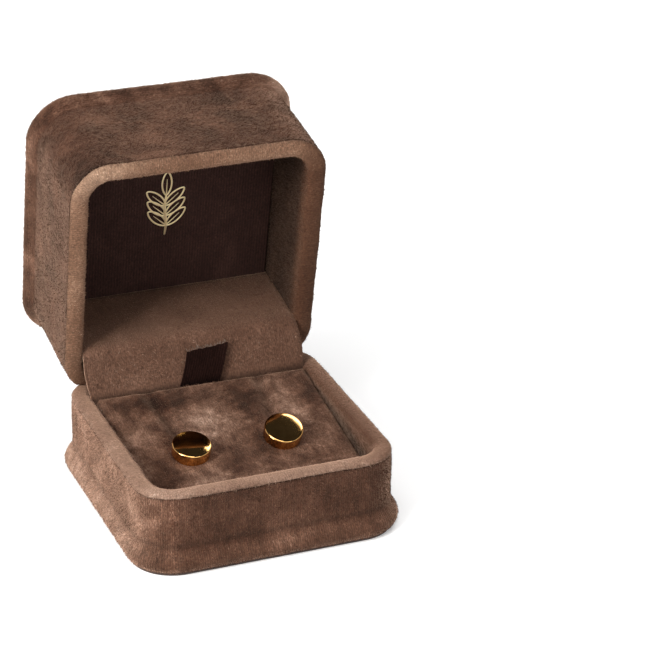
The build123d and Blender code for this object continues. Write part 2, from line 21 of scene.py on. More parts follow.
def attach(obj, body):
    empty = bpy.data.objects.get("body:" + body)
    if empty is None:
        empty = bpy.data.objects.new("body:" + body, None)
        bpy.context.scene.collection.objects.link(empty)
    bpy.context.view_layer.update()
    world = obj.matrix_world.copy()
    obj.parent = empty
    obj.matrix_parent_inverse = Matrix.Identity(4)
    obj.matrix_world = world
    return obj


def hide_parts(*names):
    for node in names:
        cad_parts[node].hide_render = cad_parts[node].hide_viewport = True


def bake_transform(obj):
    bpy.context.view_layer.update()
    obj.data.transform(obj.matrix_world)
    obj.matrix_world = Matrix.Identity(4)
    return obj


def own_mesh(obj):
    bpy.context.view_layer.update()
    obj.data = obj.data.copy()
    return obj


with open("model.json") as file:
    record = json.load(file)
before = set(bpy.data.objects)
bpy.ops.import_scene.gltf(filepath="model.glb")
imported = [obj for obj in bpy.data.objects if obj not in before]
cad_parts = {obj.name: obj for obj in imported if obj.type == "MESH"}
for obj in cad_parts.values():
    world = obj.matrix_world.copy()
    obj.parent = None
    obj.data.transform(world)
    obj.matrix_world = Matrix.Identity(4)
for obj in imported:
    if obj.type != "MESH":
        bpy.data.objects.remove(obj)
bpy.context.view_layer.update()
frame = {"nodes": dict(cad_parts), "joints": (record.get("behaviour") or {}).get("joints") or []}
log = logging.getLogger("earring_box")
MM = 0.001
WELD_M = 2e-7
Triple = tuple[float, float, float]
Colour = Triple


class Side(Enum):
    """The two halves of the box; the value is the sign of their rim's direction."""

    BASE = 1
    LID = -1


# Reading the frame


def node_points(node: str) -> np.ndarray:
    """Vertices of a CAD node.

    Args:
        node: Name of the node.

    Returns:
        An (n, 3) array in millimetres.
    """
    mesh = frame["nodes"][node].data
    flat = np.empty(len(mesh.vertices) * 3, np.float32)
    mesh.vertices.foreach_get("co", flat)
    return flat.reshape(-1, 3).astype(float) / MM


@dataclass(frozen=True)
class BoxSizes:
    """Sizes of the box that the frame gives, and the few that the cloth needs beside them."""

    wall_width: float
    wall_depth: float
    foot_swell: float
    foot_bottom: float
    rim: float
    mouth: float
    bead_top: float
    crown_top: float
    recess_floor: float
    panel_face: float
    panel_back: float
    flap_face: float
    flap_half_width: float
    flap_end: float
    pad_back: float
    hinge_y: float
    hinge_z: float
    open_angle: float
    corner_radius: float = 8.4
    wall_thickness: float = 3.8
    foot_height: float = 5.6
    bead_height: float = 4.6
    swell_edge_share: float = 0.45
    swell_crest_share: float = 0.35
    window_half: float = 16.2
    window_reach: float = 9.8
    barrel_space: float = 1.75

    @classmethod
    def from_frame(cls) -> "BoxSizes":
        """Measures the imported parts, the lid's ones as if it were closed.

        Returns:
            The sizes in millimetres.
        """
        joint = next(j for j in frame["joints"] if j["name"] == "lid_hinge")
        _, hinge_y, hinge_z = (value / MM for value in joint["pos_m"])
        angle = -joint["range_deg"][0]

        def closed(node: str) -> np.ndarray:
            return turn_lid(node_points(node), hinge_y, hinge_z, -angle)

        lining, wrap = node_points("base_rim_lining"), node_points("base_outer_wrap")
        panel, flap = closed("lid_panel_cover"), closed("lid_flap_cover")
        return cls(
            wall_width=float(np.ptp(lining[:, 0])),
            wall_depth=-2 * float(lining[:, 1].min()),
            foot_swell=float(wrap[:, 0].max() - lining[:, 0].max()),
            foot_bottom=float(wrap[:, 2].min()),
            rim=float(lining[:, 2].max()),
            mouth=float(closed("lid_rim_lining")[:, 2].min()),
            bead_top=float(closed("lid_outer_wrap")[:, 2].max()),
            crown_top=float(closed("lid_top_cover")[:, 2].max()),
            recess_floor=float(closed("lid_top_board")[:, 2].min()),
            panel_face=float(panel[:, 2].min()),
            panel_back=float(panel[:, 2].max()),
            flap_face=float(flap[:, 1].min()),
            flap_half_width=float(flap[:, 0].max()),
            flap_end=float(flap[:, 2].max()),
            pad_back=float(node_points("insert_cover")[:, 1].max()),
            hinge_y=hinge_y,
            hinge_z=hinge_z,
            open_angle=angle,
        )

    def open_lid(self, points: np.ndarray) -> np.ndarray:
        """Points of the closed lid, turned to where the open lid has them."""
        return turn_lid(points, self.hinge_y, self.hinge_z, self.open_angle)

    def swell(self, distance: np.ndarray, height: float) -> np.ndarray:
        """Standout of the foot or bead: a quarter parabola up to its crest, then half a cosine."""
        share = np.clip(distance / height, 0.0, 1.0)
        rest = 1 - share / self.swell_crest_share
        rise = 1 - (1 - self.swell_edge_share) * rest**2
        turn = math.pi * (share - self.swell_crest_share) / (1 - self.swell_crest_share)
        return self.foot_swell * np.where(rest > 0, rise, (1 + np.cos(turn)) / 2)


def turn_lid(points: np.ndarray, hinge_y: float, hinge_z: float, angle: float) -> np.ndarray:
    """Turns points about the hinge: (y, z) from the axis become (cy + sz, cz - sy).

    Args:
        points: Array whose last axis is x, y, z.
        hinge_y: Depth of the axis.
        hinge_z: Height of the axis.
        angle: Opening in degrees; a negative one closes.

    Returns:
        The turned points, with the same shape.
    """
    cosine, sine = math.cos(math.radians(angle)), math.sin(math.radians(angle))
    y, z = points[..., 1] - hinge_y, points[..., 2] - hinge_z
    turned = (points[..., 0], hinge_y + cosine * y + sine * z, hinge_z + cosine * z - sine * y)
    return np.stack(turned, axis=-1)


# Surfaces


@dataclass
class Surface:
    """Grid of points in millimetres, with the lengths run along both directions, or planar ones.

    At each point, painted_shade is the painted shade of creases, grooves, recesses and inner walls,
    nap_and_light the lean of the pile together with painted light and shade, and cut the share of
    the fibres' length.
    """

    points: np.ndarray
    run_u: np.ndarray
    run_v: np.ndarray
    closed_u: bool = False
    closed_v: bool = False
    painted_shade: np.ndarray | float = 0.0
    nap_and_light: np.ndarray | float = 0.0
    cut: np.ndarray | float = 1.0
    planar: np.ndarray | None = None

    def faces(self) -> tuple[np.ndarray, np.ndarray]:
        """Quads between neighbouring points, and the run lengths at their corners.

        Returns:
            (faces, 4) vertex numbers and (faces, 4, 2) run lengths.
        """
        rows, columns = self.points.shape[:2]
        i = np.arange(rows if self.closed_u else rows - 1)
        j = np.arange(columns if self.closed_v else columns - 1)
        i, j = (a.ravel() for a in np.meshgrid(i, j, indexing="ij"))
        corners = [(i, j), (i + 1, j), (i + 1, j + 1), (i, j + 1)]
        quads = [(a % rows) * columns + b % columns for a, b in corners]
        if self.planar is None:
            runs = [np.stack((self.run_u[a], self.run_v[b]), -1) for a, b in corners]
        else:
            runs = [self.planar[a % rows, b % columns] for a, b in corners]
        return np.stack(quads, 1), np.stack(runs, 1)


def run_along(points: np.ndarray, closed: bool) -> np.ndarray:
    """Length run along a line of points; a closed one ends with its whole length."""
    line = np.vstack((points, points[:1])) if closed else points
    return np.append(0.0, np.cumsum(np.linalg.norm(np.diff(line, axis=0), axis=1)))


def new_mesh(name: str, points: np.ndarray, faces: np.ndarray, runs: np.ndarray, painted_shade: np.ndarray,
             nap_and_light: np.ndarray) -> bpy.types.Mesh:
    """Mesh with a UV map of run lengths and the two attributes of its cloth.

    Args:
        name: Name of the mesh.
        points: (n, 3) vertices in millimetres.
        faces: Vertex numbers, a row for each face.
        runs: Run lengths at the corners of the faces.
        painted_shade: Painted shade of creases, grooves and recesses at each vertex.
        nap_and_light: Lean of the pile, with painted light and shade, at each vertex.

    Returns:
        The mesh.
    """
    mesh = bpy.data.meshes.new(name)
    mesh.from_pydata((points * MM).tolist(), [], faces.tolist())
    layer = mesh.uv_layers.new(name="runs")
    layer.data.foreach_set("uv", runs.astype(np.float32).ravel())
    for title, values in (("painted_shade", painted_shade), ("nap_and_light", nap_and_light)):
        attribute = mesh.attributes.new(title, "FLOAT", "POINT")
        attribute.data.foreach_set("value", values.astype(np.float32).ravel())
    return mesh


def link_piece(name: str, mesh: bpy.types.Mesh, finish: "Finish") -> bpy.types.Object:
    """Puts a mesh of one finish into the scene, at the origin."""
    mesh.materials.append(finish.material())
    piece = bpy.data.objects.new(name, mesh)
    bpy.context.scene.collection.objects.link(piece)
    log.info("%s: %d faces", name, len(mesh.polygons))
    return piece


def build_piece(name: str, surfaces: Sequence[Surface], finish: "Finish") -> bpy.types.Object:
    """Makes one mesh of surfaces, welds its seams and turns its faces outwards.

    Args:
        name: Name of the piece.
        surfaces: Grids that together close the piece.
        finish: What the piece is made of.

    Returns:
        The new object.
    """
    points, quads, runs, painted_shade, nap_and_light, start = [], [], [], [], [], 0
    for surface in surfaces:
        faces, corner_runs = surface.faces()
        grid = surface.points.shape[:2]
        points.append(surface.points.reshape(-1, 3))
        quads.append(faces + start)
        runs.append(corner_runs)
        painted_shade.append(np.broadcast_to(surface.painted_shade, grid).ravel())
        nap_and_light.append(np.broadcast_to(surface.nap_and_light, grid).ravel())
        start += grid[0] * grid[1]
    mesh = new_mesh(name, *(np.concatenate(parts) for parts in (points, quads, runs, painted_shade, nap_and_light)))
    welded = bmesh.new()
    welded.from_mesh(mesh)
    bmesh.ops.remove_doubles(welded, verts=welded.verts, dist=WELD_M)
    bmesh.ops.recalc_face_normals(welded, faces=welded.faces)
    welded.to_mesh(mesh)
    welded.free()
    mesh.shade_smooth()
    return link_piece(name, mesh, finish)


@dataclass(frozen=True)
class Pile:
    """Short fibres of the velvet: thin three-sided points, combed one way and raised a little.

    Lengths are millimetres, and the heading and its sweep are radians. Rise, drift and lean are
    shares of a fibre's length, and thinness is a share of its radius. Unevenness spreads the fibres'
    tone at random. The tip's two values paint shade among the fibres: a tip keeps only a share of its
    root's painted shade, and gets a painted highlight.
    """

    per_mm2: float = 10.0
    length: float = 0.6
    shortest: float = 0.6
    longest: float = 1.1
    radius: float = 0.085
    thinness: float = 0.4
    root_depth: float = 0.03
    rise: float = 0.5
    lean: float = 0.3
    drift: float = 0.8
    heading: float = -math.pi / 2
    sweep: float = 1.0
    sweep_wave: float = 15.0
    unevenness: float = 0.32
    tip_shade_share: float = 0.8
    tip_highlight: float = 0.15
    most: int = 48000

    def grow(self, name: str, surface: Surface, shown: slice, finish: "Finish", seed: int,
             behind: Triple = (0, 0, 0)) -> bpy.types.Object:
        """Combs fibres over the shown columns of a surface.

        Each has its root at p = (1-s)(1-t) a + s(1-t) b + st c + (1-s)t d in a random cell, drawn by
        area. Its tip is at p + length (rise n + (drift cos w + i) u + (drift sin w + j) v) for the
        cell's normal n, u the way of the grid's first index, v = n x u, a slowly turning heading w
        and random i and j.

        Args:
            name: Name of the new piece.
            surface: Where the fibres lie.
            shown: Columns of the surface that show.
            finish: What the fibres are made of.
            seed: Start of the random draw.
            behind: Any point inside a closed surface, or behind an open one.

        Returns:
            The new object.
        """
        draw = np.random.default_rng(seed)
        points = surface.points
        if surface.closed_u:
            points = np.concatenate((points, points[:1]))
        if surface.closed_v:
            points = np.concatenate((points, points[:, :1]), 1)
        a, b, c, d = points[:-1, :-1], points[1:, :-1], points[1:, 1:], points[:-1, 1:]
        normal = np.cross(c - a, d - b)
        normal *= np.sign(((a + c) / 2 - np.array(behind)).ravel() @ normal.ravel())
        a, b, c, d, normal = (part[:, shown] for part in (a, b, c, d, normal))
        area = np.linalg.norm(normal, axis=-1) / 2
        count = min(int(area.sum() * self.per_mm2), self.most)
        cell = draw.choice(area.size, count, p=area.ravel() / area.sum())
        s, t = draw.random((2, count, 1))
        a, b, c, d = (corner.reshape(-1, 3)[cell] for corner in (a, b, c, d))
        root = (1 - s) * (1 - t) * a + s * (1 - t) * b + s * t * c + (1 - s) * t * d
        up = normal.reshape(-1, 3)[cell] / np.maximum(2 * area.ravel()[cell, None], 1e-9)
        along = unit(c + b - a - d)
        aside = np.cross(up, along)
        way = self.sweep * ripple(root, self.sweep_wave, seed)[:, None] + self.heading
        tilt = self.drift * np.stack((np.cos(way), np.sin(way))) + draw.normal(0, self.lean, (2, count, 1))
        rows, columns = np.divmod(cell, area.shape[1])
        columns = columns + (shown.start or 0)
        cut, painted_shade, nap_and_light = (np.broadcast_to(source, surface.points.shape[:2])[rows, columns, None]
                            for source in (surface.cut, surface.painted_shade, surface.nap_and_light))
        long = self.length * draw.uniform(self.shortest, self.longest, (count, 1)) * cut
        spine = self.rise * up + tilt[0] * along + tilt[1] * aside
        tip = root + long * spine
        turn = math.pi / 2 + np.arange(3)[:, None] * 2 * math.pi / 3
        ring = np.cos(turn) * unit(np.cross(up, spine))[:, None] + self.thinness * np.sin(turn) * up[:, None]
        foot = root[:, None] - self.root_depth * up[:, None] + self.radius * ring
        vertices = np.concatenate((foot, tip[:, None]), 1)
        sides = np.array([(0, 1, 3), (1, 2, 3), (2, 0, 3), (2, 1, 0)])
        faces = (4 * np.arange(count)[:, None, None] + sides).reshape(-1, 3)
        if surface.planar is None:
            run = np.stack((surface.run_u[rows], surface.run_v[columns]), -1)
        else:
            run = surface.planar[rows, columns]
        # Painted shade among the fibres: the tip keeps only a share of the root's shade and gets a painted
        # highlight.
        painted_shade = painted_shade * (1, 1, 1, self.tip_shade_share)
        nap_and_light = nap_and_light + draw.normal(0, self.unevenness, (count, 1)) + (0, 0, 0, self.tip_highlight)
        mesh = new_mesh(name, vertices.reshape(-1, 3), faces, np.repeat(run, sides.size, 0), painted_shade, nap_and_light)
        return link_piece(name, mesh, finish)


def place(piece: bpy.types.Object, body: str, slot: str, nodes: Sequence[str]) -> bpy.types.Object:
    """Lets a piece ride on a body, and hides the CAD nodes that it stands for."""
    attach(piece, body)
    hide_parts(*nodes)
    return piece


def stand_pile(name: str, surface: Surface, shown: slice, finish: "Finish", body: str,
               fibres: Pile = Pile()) -> bpy.types.Object:
    """Grows pile on a surface and lets it ride on a body."""
    pile = fibres.grow(name, surface, shown, finish, len(name))
    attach(pile, body)
    return pile


@dataclass(frozen=True)
class Outline:
    """Rounded rectangle: a core line with normals, so that a point is core + (radius + standout) normal."""

    width: float
    depth: float
    radius: float
    straight_steps: int = 96
    corner_steps: int = 32

    def core(self) -> tuple[np.ndarray, np.ndarray]:
        """Core points and normals round the outline, from the middle of the back, by the left.

        Returns:
            Two (n, 2) arrays.
        """
        half = np.array((self.width / 2 - self.radius, self.depth / 2 - self.radius))
        signs = np.array([(-1, 1), (-1, -1), (1, -1), (1, 1)])
        starts = np.radians([90, 180, 270, 360])
        run = np.linspace(0, 1, self.straight_steps, endpoint=False)[1:, None]
        sweep = np.linspace(0, math.pi / 2, self.corner_steps)
        cores, normals = [], []
        for index, (sign, start) in enumerate(zip(signs, starts)):
            angle = start + sweep
            corner = sign * half
            after = signs[(index + 1) % 4] * half
            cores += [np.repeat(corner[None], self.corner_steps, 0), corner + run * (after - corner)]
            turned = np.stack((np.cos(angle), np.sin(angle)), 1)
            normals += [turned, np.repeat(turned[-1:], len(run), 0)]
        return np.vstack(cores), np.vstack(normals)

    def swept(self, path: np.ndarray) -> tuple[np.ndarray, np.ndarray]:
        """Carries a profile of (standout, height) round the outline.

        Args:
            path: (m, 2) profile points.

        Returns:
            (n, m, 3) points, and the run length round the outline with its whole length last.
        """
        core, normal = self.core()
        flat = core[:, None] + (self.radius + path[:, 0])[None, :, None] * normal[:, None]
        height = np.broadcast_to(path[:, 1], flat.shape[:2])
        return np.dstack((flat, height)), run_along(core + self.radius * normal, True)

    def rings(self, shares: np.ndarray, path: np.ndarray) -> tuple[np.ndarray, np.ndarray]:
        """As swept(), with each ring drawn in to a share of its size, where 0 is the middle."""
        points, run = self.swept(path)
        points[..., :2] *= shares[None, :, None]
        return points, run


def rounded_path(corners: Sequence[Triple], closed: bool = False, step: float = 0.8) -> np.ndarray:
    """Straight runs with rounded corners: from a to b round c, (1-t)^2 a + 2t(1-t) c + t^2 b.

    Args:
        corners: (across, height, cut) of each corner; cut is how far from it the rounding starts.
        closed: Whether the last corner joins the first.
        step: Longest distance between points on a straight run.

    Returns:
        (m, 2) points.
    """
    places = np.array([corner[:2] for corner in corners], float)
    turn = np.linspace(0, 1, 7)[:, None]
    parts = []
    for index, (*_, cut) in enumerate(corners):
        here = places[index]
        if cut:
            back = places[index - 1] - here
            ahead = places[(index + 1) % len(places)] - here
            a = here + back / np.linalg.norm(back) * cut
            b = here + ahead / np.linalg.norm(ahead) * cut
            parts.append((1 - turn) ** 2 * a + 2 * turn * (1 - turn) * here + turn**2 * b)
        else:
            parts.append(here[None])
    line = [parts[0]]
    for part in parts[1:] + (parts[:1] if closed else []):
        count = max(int(np.linalg.norm(part[0] - line[-1][-1]) / step), 0)
        share = np.linspace(0, 1, count + 2)[1:-1, None]
        line += [line[-1][-1] * (1 - share) + part[0] * share, part]
    return np.vstack(line[:-1] if closed else line)


def soft_least(a: np.ndarray, b: np.ndarray, softness: float) -> np.ndarray:
    """Smaller of two heights with the corner between them rounded: -k log(e^(-a/k) + e^(-b/k))."""
    return -softness * np.logaddexp(-a / softness, -b / softness)


def ripple(points: np.ndarray, wave: float, seed: int) -> np.ndarray:
    """Slow waviness of cloth: mean of ten sines along random directions, about -1 to 1.

    Args:
        points: Places in millimetres.
        wave: Mean length of a wave.
        seed: Start of the random draw.

    Returns:
        One value per point.
    """
    draw = np.random.default_rng(seed)
    way = draw.normal(size=(10, 3))
    way *= 2 * math.pi / wave * draw.uniform(0.6, 1.4, (10, 1)) / np.linalg.norm(way, axis=1, keepdims=True)
    phase = draw.uniform(0, 2 * math.pi, 10)
    return 0.6 * np.sin(points @ way.T + phase).sum(-1) / math.sqrt(10)


def unit(vectors: np.ndarray) -> np.ndarray:
    """Vectors taken to length 1, where they have any."""
    return vectors / np.maximum(np.linalg.norm(vectors, axis=-1, keepdims=True), 1e-9)


def ways_along(path: np.ndarray) -> tuple[np.ndarray, np.ndarray]:
    """Unit directions and normals of a flat line of points."""
    way = unit(np.gradient(path, axis=0))
    return way, np.stack((-way[:, 1], way[:, 0]), 1)


def across_path(x: np.ndarray, path: np.ndarray) -> np.ndarray:
    """Grid of points (x, y, z) for places x across a line of (y, z)."""
    return np.stack((x, *(np.broadcast_to(place, x.shape) for place in path.T)), -1)


def flat_run(count: int, across: float, height: float) -> np.ndarray:
    """Profile that stays at one place, for the rings of a flat face."""
    return np.tile((float(across), float(height)), (count, 1))


def bump(distance: np.ndarray, width: float) -> np.ndarray:
    """Bell curve e^(-(d/w)^2), 1 at the middle."""
    return np.exp(-((distance / width) ** 2))


def slab(top: np.ndarray, bottom: np.ndarray, painted_shade: np.ndarray | float = 0.0,
         nap_and_light: np.ndarray | float = 0.0) -> list[Surface]:
    """Closes two grids of the same size into a slab, with strips between their edges.

    Args:
        top: (n, m, 3) points of the showing face.
        bottom: (n, m, 3) points of the face under it.
        painted_shade: Painted shade of creases on the showing face.
        nap_and_light: Lean of the pile, with painted light and shade, on the showing face.

    Returns:
        Six surfaces.
    """
    n, m = top.shape[:2]
    run_u = run_along(top[:, m // 2], False)
    run_v = run_along(top[n // 2], False)
    surfaces = [Surface(top, run_u, run_v, painted_shade=painted_shade, nap_and_light=nap_and_light), Surface(bottom, run_u, run_v)]
    for cut, run in ((np.s_[:, 0], run_u), (np.s_[:, -1], run_u), (np.s_[0], run_v), (np.s_[-1], run_v)):
        side = np.stack((top[cut], bottom[cut]), 1)
        surfaces.append(Surface(side, run, run_along(side[0], False)))
    return surfaces


# Finishes


class Sheet:
    """Node tree with short hands for adding nodes and joining them."""

    def __init__(self, tree: bpy.types.NodeTree) -> None:
        """Takes the tree that the nodes go into."""
        self.tree = tree

    def add(self, kind: str, inputs: dict | None = None, **settings: object) -> bpy.types.Node:
        """Adds a node.

        Args:
            kind: Node type without its leading ShaderNode.
            inputs: Input name or number to a value or to the socket that feeds it.
            settings: Attributes of the node.

        Returns:
            The node.
        """
        node = self.tree.nodes.new(kind if kind.startswith("Node") else "ShaderNode" + kind)
        for key, value in settings.items():
            setattr(node, key, value)
        for key, value in (inputs or {}).items():
            if isinstance(value, bpy.types.NodeSocket):
                self.tree.links.new(value, node.inputs[key])
            else:
                node.inputs[key].default_value = value
        return node

    def math(self, operation: str, *values: object, clamp: bool = False) -> bpy.types.NodeSocket:
        """Result of a Math node on values or sockets."""
        node = self.add("Math", dict(enumerate(values)), operation=operation, use_clamp=clamp)
        return node.outputs[0]

    def mix(self, factor: object, a: object, b: object, blend: str = "MIX") -> bpy.types.NodeSocket:
        """Colour between a and b by factor."""
        node = self.add("Mix", {0: factor, 6: a, 7: b}, data_type="RGBA", blend_type=blend)
        return node.outputs[2]

    def spread(self, value: object, low: float, high: float, out_low: float = 0.0,
               out_high: float = 1.0) -> bpy.types.NodeSocket:
        """Value taken from low-high to out_low-out_high by a smooth step."""
        inputs = {0: value, 1: low, 2: high, 3: out_low, 4: out_high}
        return self.add("MapRange", inputs, interpolation_type="SMOOTHSTEP").outputs[0]

    def scaled(self, vector: object, x: float, y: float, z: float) -> bpy.types.NodeSocket:
        """Vector times (x, y, z)."""
        return self.add("VectorMath", {0: vector, 1: (x, y, z)}, operation="MULTIPLY").outputs[0]

    def noise(self, vector: object, scale: object, detail: float = 2.0,
              distortion: float = 0.0) -> bpy.types.NodeSocket:
        """Noise value from 0 to 1."""
        inputs = {"Vector": vector, "Scale": scale, "Detail": detail, "Distortion": distortion}
        return self.add("TexNoise", inputs).outputs["Fac"]


def new_group(name: str, takes: dict[str, tuple]) -> tuple[Sheet, bpy.types.Node, bpy.types.Node]:
    """Starts a shader node group that gives a colour, a height and a roughness.

    Args:
        name: Name of the group.
        takes: Input name to (kind, default).

    Returns:
        The sheet, its input node and its output node.
    """
    tree = bpy.data.node_groups.new(name, "ShaderNodeTree")
    for title, (kind, default) in takes.items():
        socket = tree.interface.new_socket(title, in_out="INPUT", socket_type="NodeSocket" + kind)
        if default is not None:
            socket.default_value = default
    for title, kind in (("Color", "Color"), ("Height", "Float"), ("Roughness", "Float")):
        tree.interface.new_socket(title, in_out="OUTPUT", socket_type="NodeSocket" + kind)
    sheet = Sheet(tree)
    return sheet, sheet.add("NodeGroupInput"), sheet.add("NodeGroupOutput")


@cache
def nap_group() -> bpy.types.NodeTree:
    """Velvet's face: patches and strokes of leaning pile, fine ribs and single fibres, with painted shade in
    creases and painted light.
    """
    black = (0.0, 0.0, 0.0, 1.0)
    takes = {
        "Place": ("Vector", None), "Runs": ("Vector", None), "Shade": ("Color", black),
        "Tone": ("Color", black), "Light": ("Color", black), "Patch": ("Float", 0.13),
        "Contrast": ("Float", 1.0), "Ribs": ("Float", 0.5), "Pitch": ("Float", 0.48),
        "PaintedShade": ("Float", 0.0), "NapAndLight": ("Float", 0.0),
    }
    patch_swing, stroke_swing, speck_swing = 2.2, 0.7, 1.0
    fibre_swing, least_fibre, rib_swing, least_rib = 1.7, 0.15, 0.42, 0.8
    nap_and_light_powers = (1.4, 1.75, 1.95)
    sheet, given, out = new_group("velvet_nap", takes)
    take = given.outputs
    patches = sheet.noise(take["Place"], take["Patch"], 3.0, 0.8)
    strokes = sheet.noise(sheet.scaled(take["Runs"], 1.1, 0.22, 1.0), 1.0, 3.0, 0.4)
    fibres = sheet.noise(sheet.scaled(take["Runs"], 3.6, 1.5, 1.0), 1.0, 3.0, 0.6)
    specks = sheet.noise(take["Place"], 2.4, 3.0)
    across = sheet.add("SeparateXYZ", {0: take["Runs"]}).outputs[0]
    wander = sheet.math("MULTIPLY", sheet.math("SUBTRACT", specks, 0.5), 0.5)
    turns = sheet.math("DIVIDE", sheet.math("ADD", across, wander), take["Pitch"])
    wave = sheet.math("SINE", sheet.math("MULTIPLY", turns, 2 * math.pi))
    rib = sheet.math("MULTIPLY", sheet.math("MULTIPLY_ADD", wave, 0.5, 0.5), take["Ribs"])
    lean = sheet.math("MULTIPLY_ADD", sheet.math("SUBTRACT", patches, 0.5), patch_swing, 0.5)
    lean = sheet.math("MULTIPLY_ADD", sheet.math("SUBTRACT", strokes, 0.5), stroke_swing, lean)
    lean = sheet.math("MULTIPLY_ADD", sheet.math("SUBTRACT", lean, 0.5), take["Contrast"], 0.5)
    lean = sheet.math("MULTIPLY_ADD", sheet.math("SUBTRACT", specks, 0.5), speck_swing, lean)
    dark = sheet.mix(sheet.spread(lean, -0.1, 0.55), take["Shade"], take["Tone"])
    colour = sheet.mix(sheet.spread(lean, 0.45, 1.15), dark, take["Light"])
    grain = sheet.math("MULTIPLY_ADD", fibres, fibre_swing, least_fibre)
    grain = sheet.math("MULTIPLY", grain, sheet.math("MULTIPLY_ADD", rib, rib_swing, least_rib))
    # Painted shade: the colour darkens with the shade of creases that it is given.
    folded = sheet.math("MULTIPLY_ADD", take["PaintedShade"], -0.85, 1.0, clamp=True)
    grain = sheet.math("MULTIPLY", grain, folded)
    # Painted light: the colour scales with the lean of pile and light that it is given, more in green and
    # blue, so lighter parts turn paler like a sheen.
    channels = [
        sheet.math("MULTIPLY", grain, sheet.math("POWER", 2.0, sheet.math("MULTIPLY", take["NapAndLight"], power)))
        for power in nap_and_light_powers
    ]
    tint = sheet.add("CombineColor", dict(enumerate(channels))).outputs[0]
    sheet.tree.links.new(sheet.mix(1.0, colour, tint, "MULTIPLY"), out.inputs["Color"])
    height = sheet.math("MULTIPLY_ADD", rib, 0.8, sheet.math("MULTIPLY", fibres, 0.9))
    sheet.tree.links.new(sheet.math("MULTIPLY_ADD", specks, 1.2, height), out.inputs["Height"])
    sheet.tree.links.new(sheet.spread(lean, 0.0, 1.0, 0.95, 0.8), out.inputs["Roughness"])
    return sheet.tree


@cache
def grain_group() -> bpy.types.NodeTree:
    """Fine random grain of felt, card, foam or moulded plastic, with slow unevenness of its tone."""
    takes = {"Place": ("Vector", None), "Dark": ("Color", (0, 0, 0, 1)), "Pale": ("Color", (1, 1, 1, 1)),
             "Fineness": ("Float", 4.0), "Rough": ("Float", 0.8)}
    sheet, given, out = new_group("fine_grain", takes)
    take = given.outputs
    fine = sheet.noise(take["Place"], take["Fineness"], 4.0)
    slow = sheet.noise(take["Place"], 0.12, 2.0)
    fine_part, slow_part = sheet.math("MULTIPLY", fine, 0.7), sheet.math("MULTIPLY", slow, 0.5)
    value = sheet.math("ADD", fine_part, slow_part, clamp=True)
    sheet.tree.links.new(sheet.mix(value, take["Dark"], take["Pale"]), out.inputs["Color"])
    sheet.tree.links.new(fine, out.inputs["Height"])
    sheet.tree.links.new(sheet.math("MULTIPLY_ADD", fine, 0.2, take["Rough"]), out.inputs["Roughness"])
    return sheet.tree


@cache
def metal_group() -> bpy.types.NodeTree:
    """Rubbed metal: faint scratches along one way, a slight cloud of tarnish and uneven gloss."""
    takes = {"Place": ("Vector", None), "Bright": ("Color", (1, 1, 1, 1)), "Dull": ("Color", (0, 0, 0, 1)),
             "Stretch": ("Vector", (1.0, 1.0, 1.0)), "Gloss": ("Float", 0.1), "Wear": ("Float", 0.1)}
    sheet, given, out = new_group("rubbed_metal", takes)
    take = given.outputs
    along = sheet.add("VectorMath", {0: take["Place"], 1: take["Stretch"]}, operation="MULTIPLY").outputs[0]
    scratches = sheet.noise(along, 3.0, 3.0)
    cloud = sheet.noise(take["Place"], 0.6, 3.0)
    colour = sheet.mix(sheet.spread(cloud, 0.35, 0.75), take["Bright"], take["Dull"])
    sheet.tree.links.new(colour, out.inputs["Color"])
    sheet.tree.links.new(scratches, out.inputs["Height"])
    worn = sheet.math("MULTIPLY", sheet.math("ADD", scratches, cloud), take["Wear"])
    sheet.tree.links.new(sheet.math("ADD", worn, take["Gloss"]), out.inputs["Roughness"])
    return sheet.tree


class Finish:
    """What a piece is made of. A finish makes its material once, under its own name."""

    name: str

    def material(self) -> bpy.types.Material:
        """The finish's material.

        Returns:
            A new material, or the one made before.
        """
        found = bpy.data.materials.get(self.name)
        if found:
            return found
        made = bpy.data.materials.new(self.name)
        made.use_nodes = True
        made.node_tree.nodes.clear()
        sheet = Sheet(made.node_tree)
        shader = self.shader(sheet)
        sheet.add("OutputMaterial", {"Surface": shader.outputs[0]})
        return made

    def shader(self, sheet: Sheet) -> bpy.types.Node:
        """Fills the sheet and returns its shader."""
        raise NotImplementedError

    @staticmethod
    def places(sheet: Sheet) -> tuple[bpy.types.NodeSocket, bpy.types.NodeSocket]:
        """Object coordinates in millimetres, and the run lengths of the UV map."""
        coordinate = sheet.add("TexCoord").outputs["Object"]
        return sheet.scaled(coordinate, 1 / MM, 1 / MM, 1 / MM), sheet.add("UVMap", uv_map="runs").outputs[0]

    @staticmethod
    def dress(sheet: Sheet, tree: bpy.types.NodeTree, values: dict, depth: float,
              fixed: dict) -> bpy.types.Node:
        """Adds a group and joins its colour, roughness and height to a new Principled shader.

        Args:
            sheet: Where the nodes go.
            tree: Tree of the group.
            values: Inputs of the group.
            depth: Depth of the relief in millimetres.
            fixed: Values set on the shader's own sockets.

        Returns:
            The shader.
        """
        made = sheet.add("Group", values, node_tree=tree).outputs
        relief = sheet.add("Bump", {"Height": made["Height"], "Distance": depth * MM, "Strength": 1.0})
        inputs = {"Base Color": made["Color"], "Roughness": made["Roughness"], "Normal": relief.outputs[0]}
        inputs.update(fixed)
        return sheet.add("BsdfPrincipled", inputs)


def rgba(colour: Colour) -> tuple[float, float, float, float]:
    """Colour with full alpha."""
    return (*colour, 1.0)


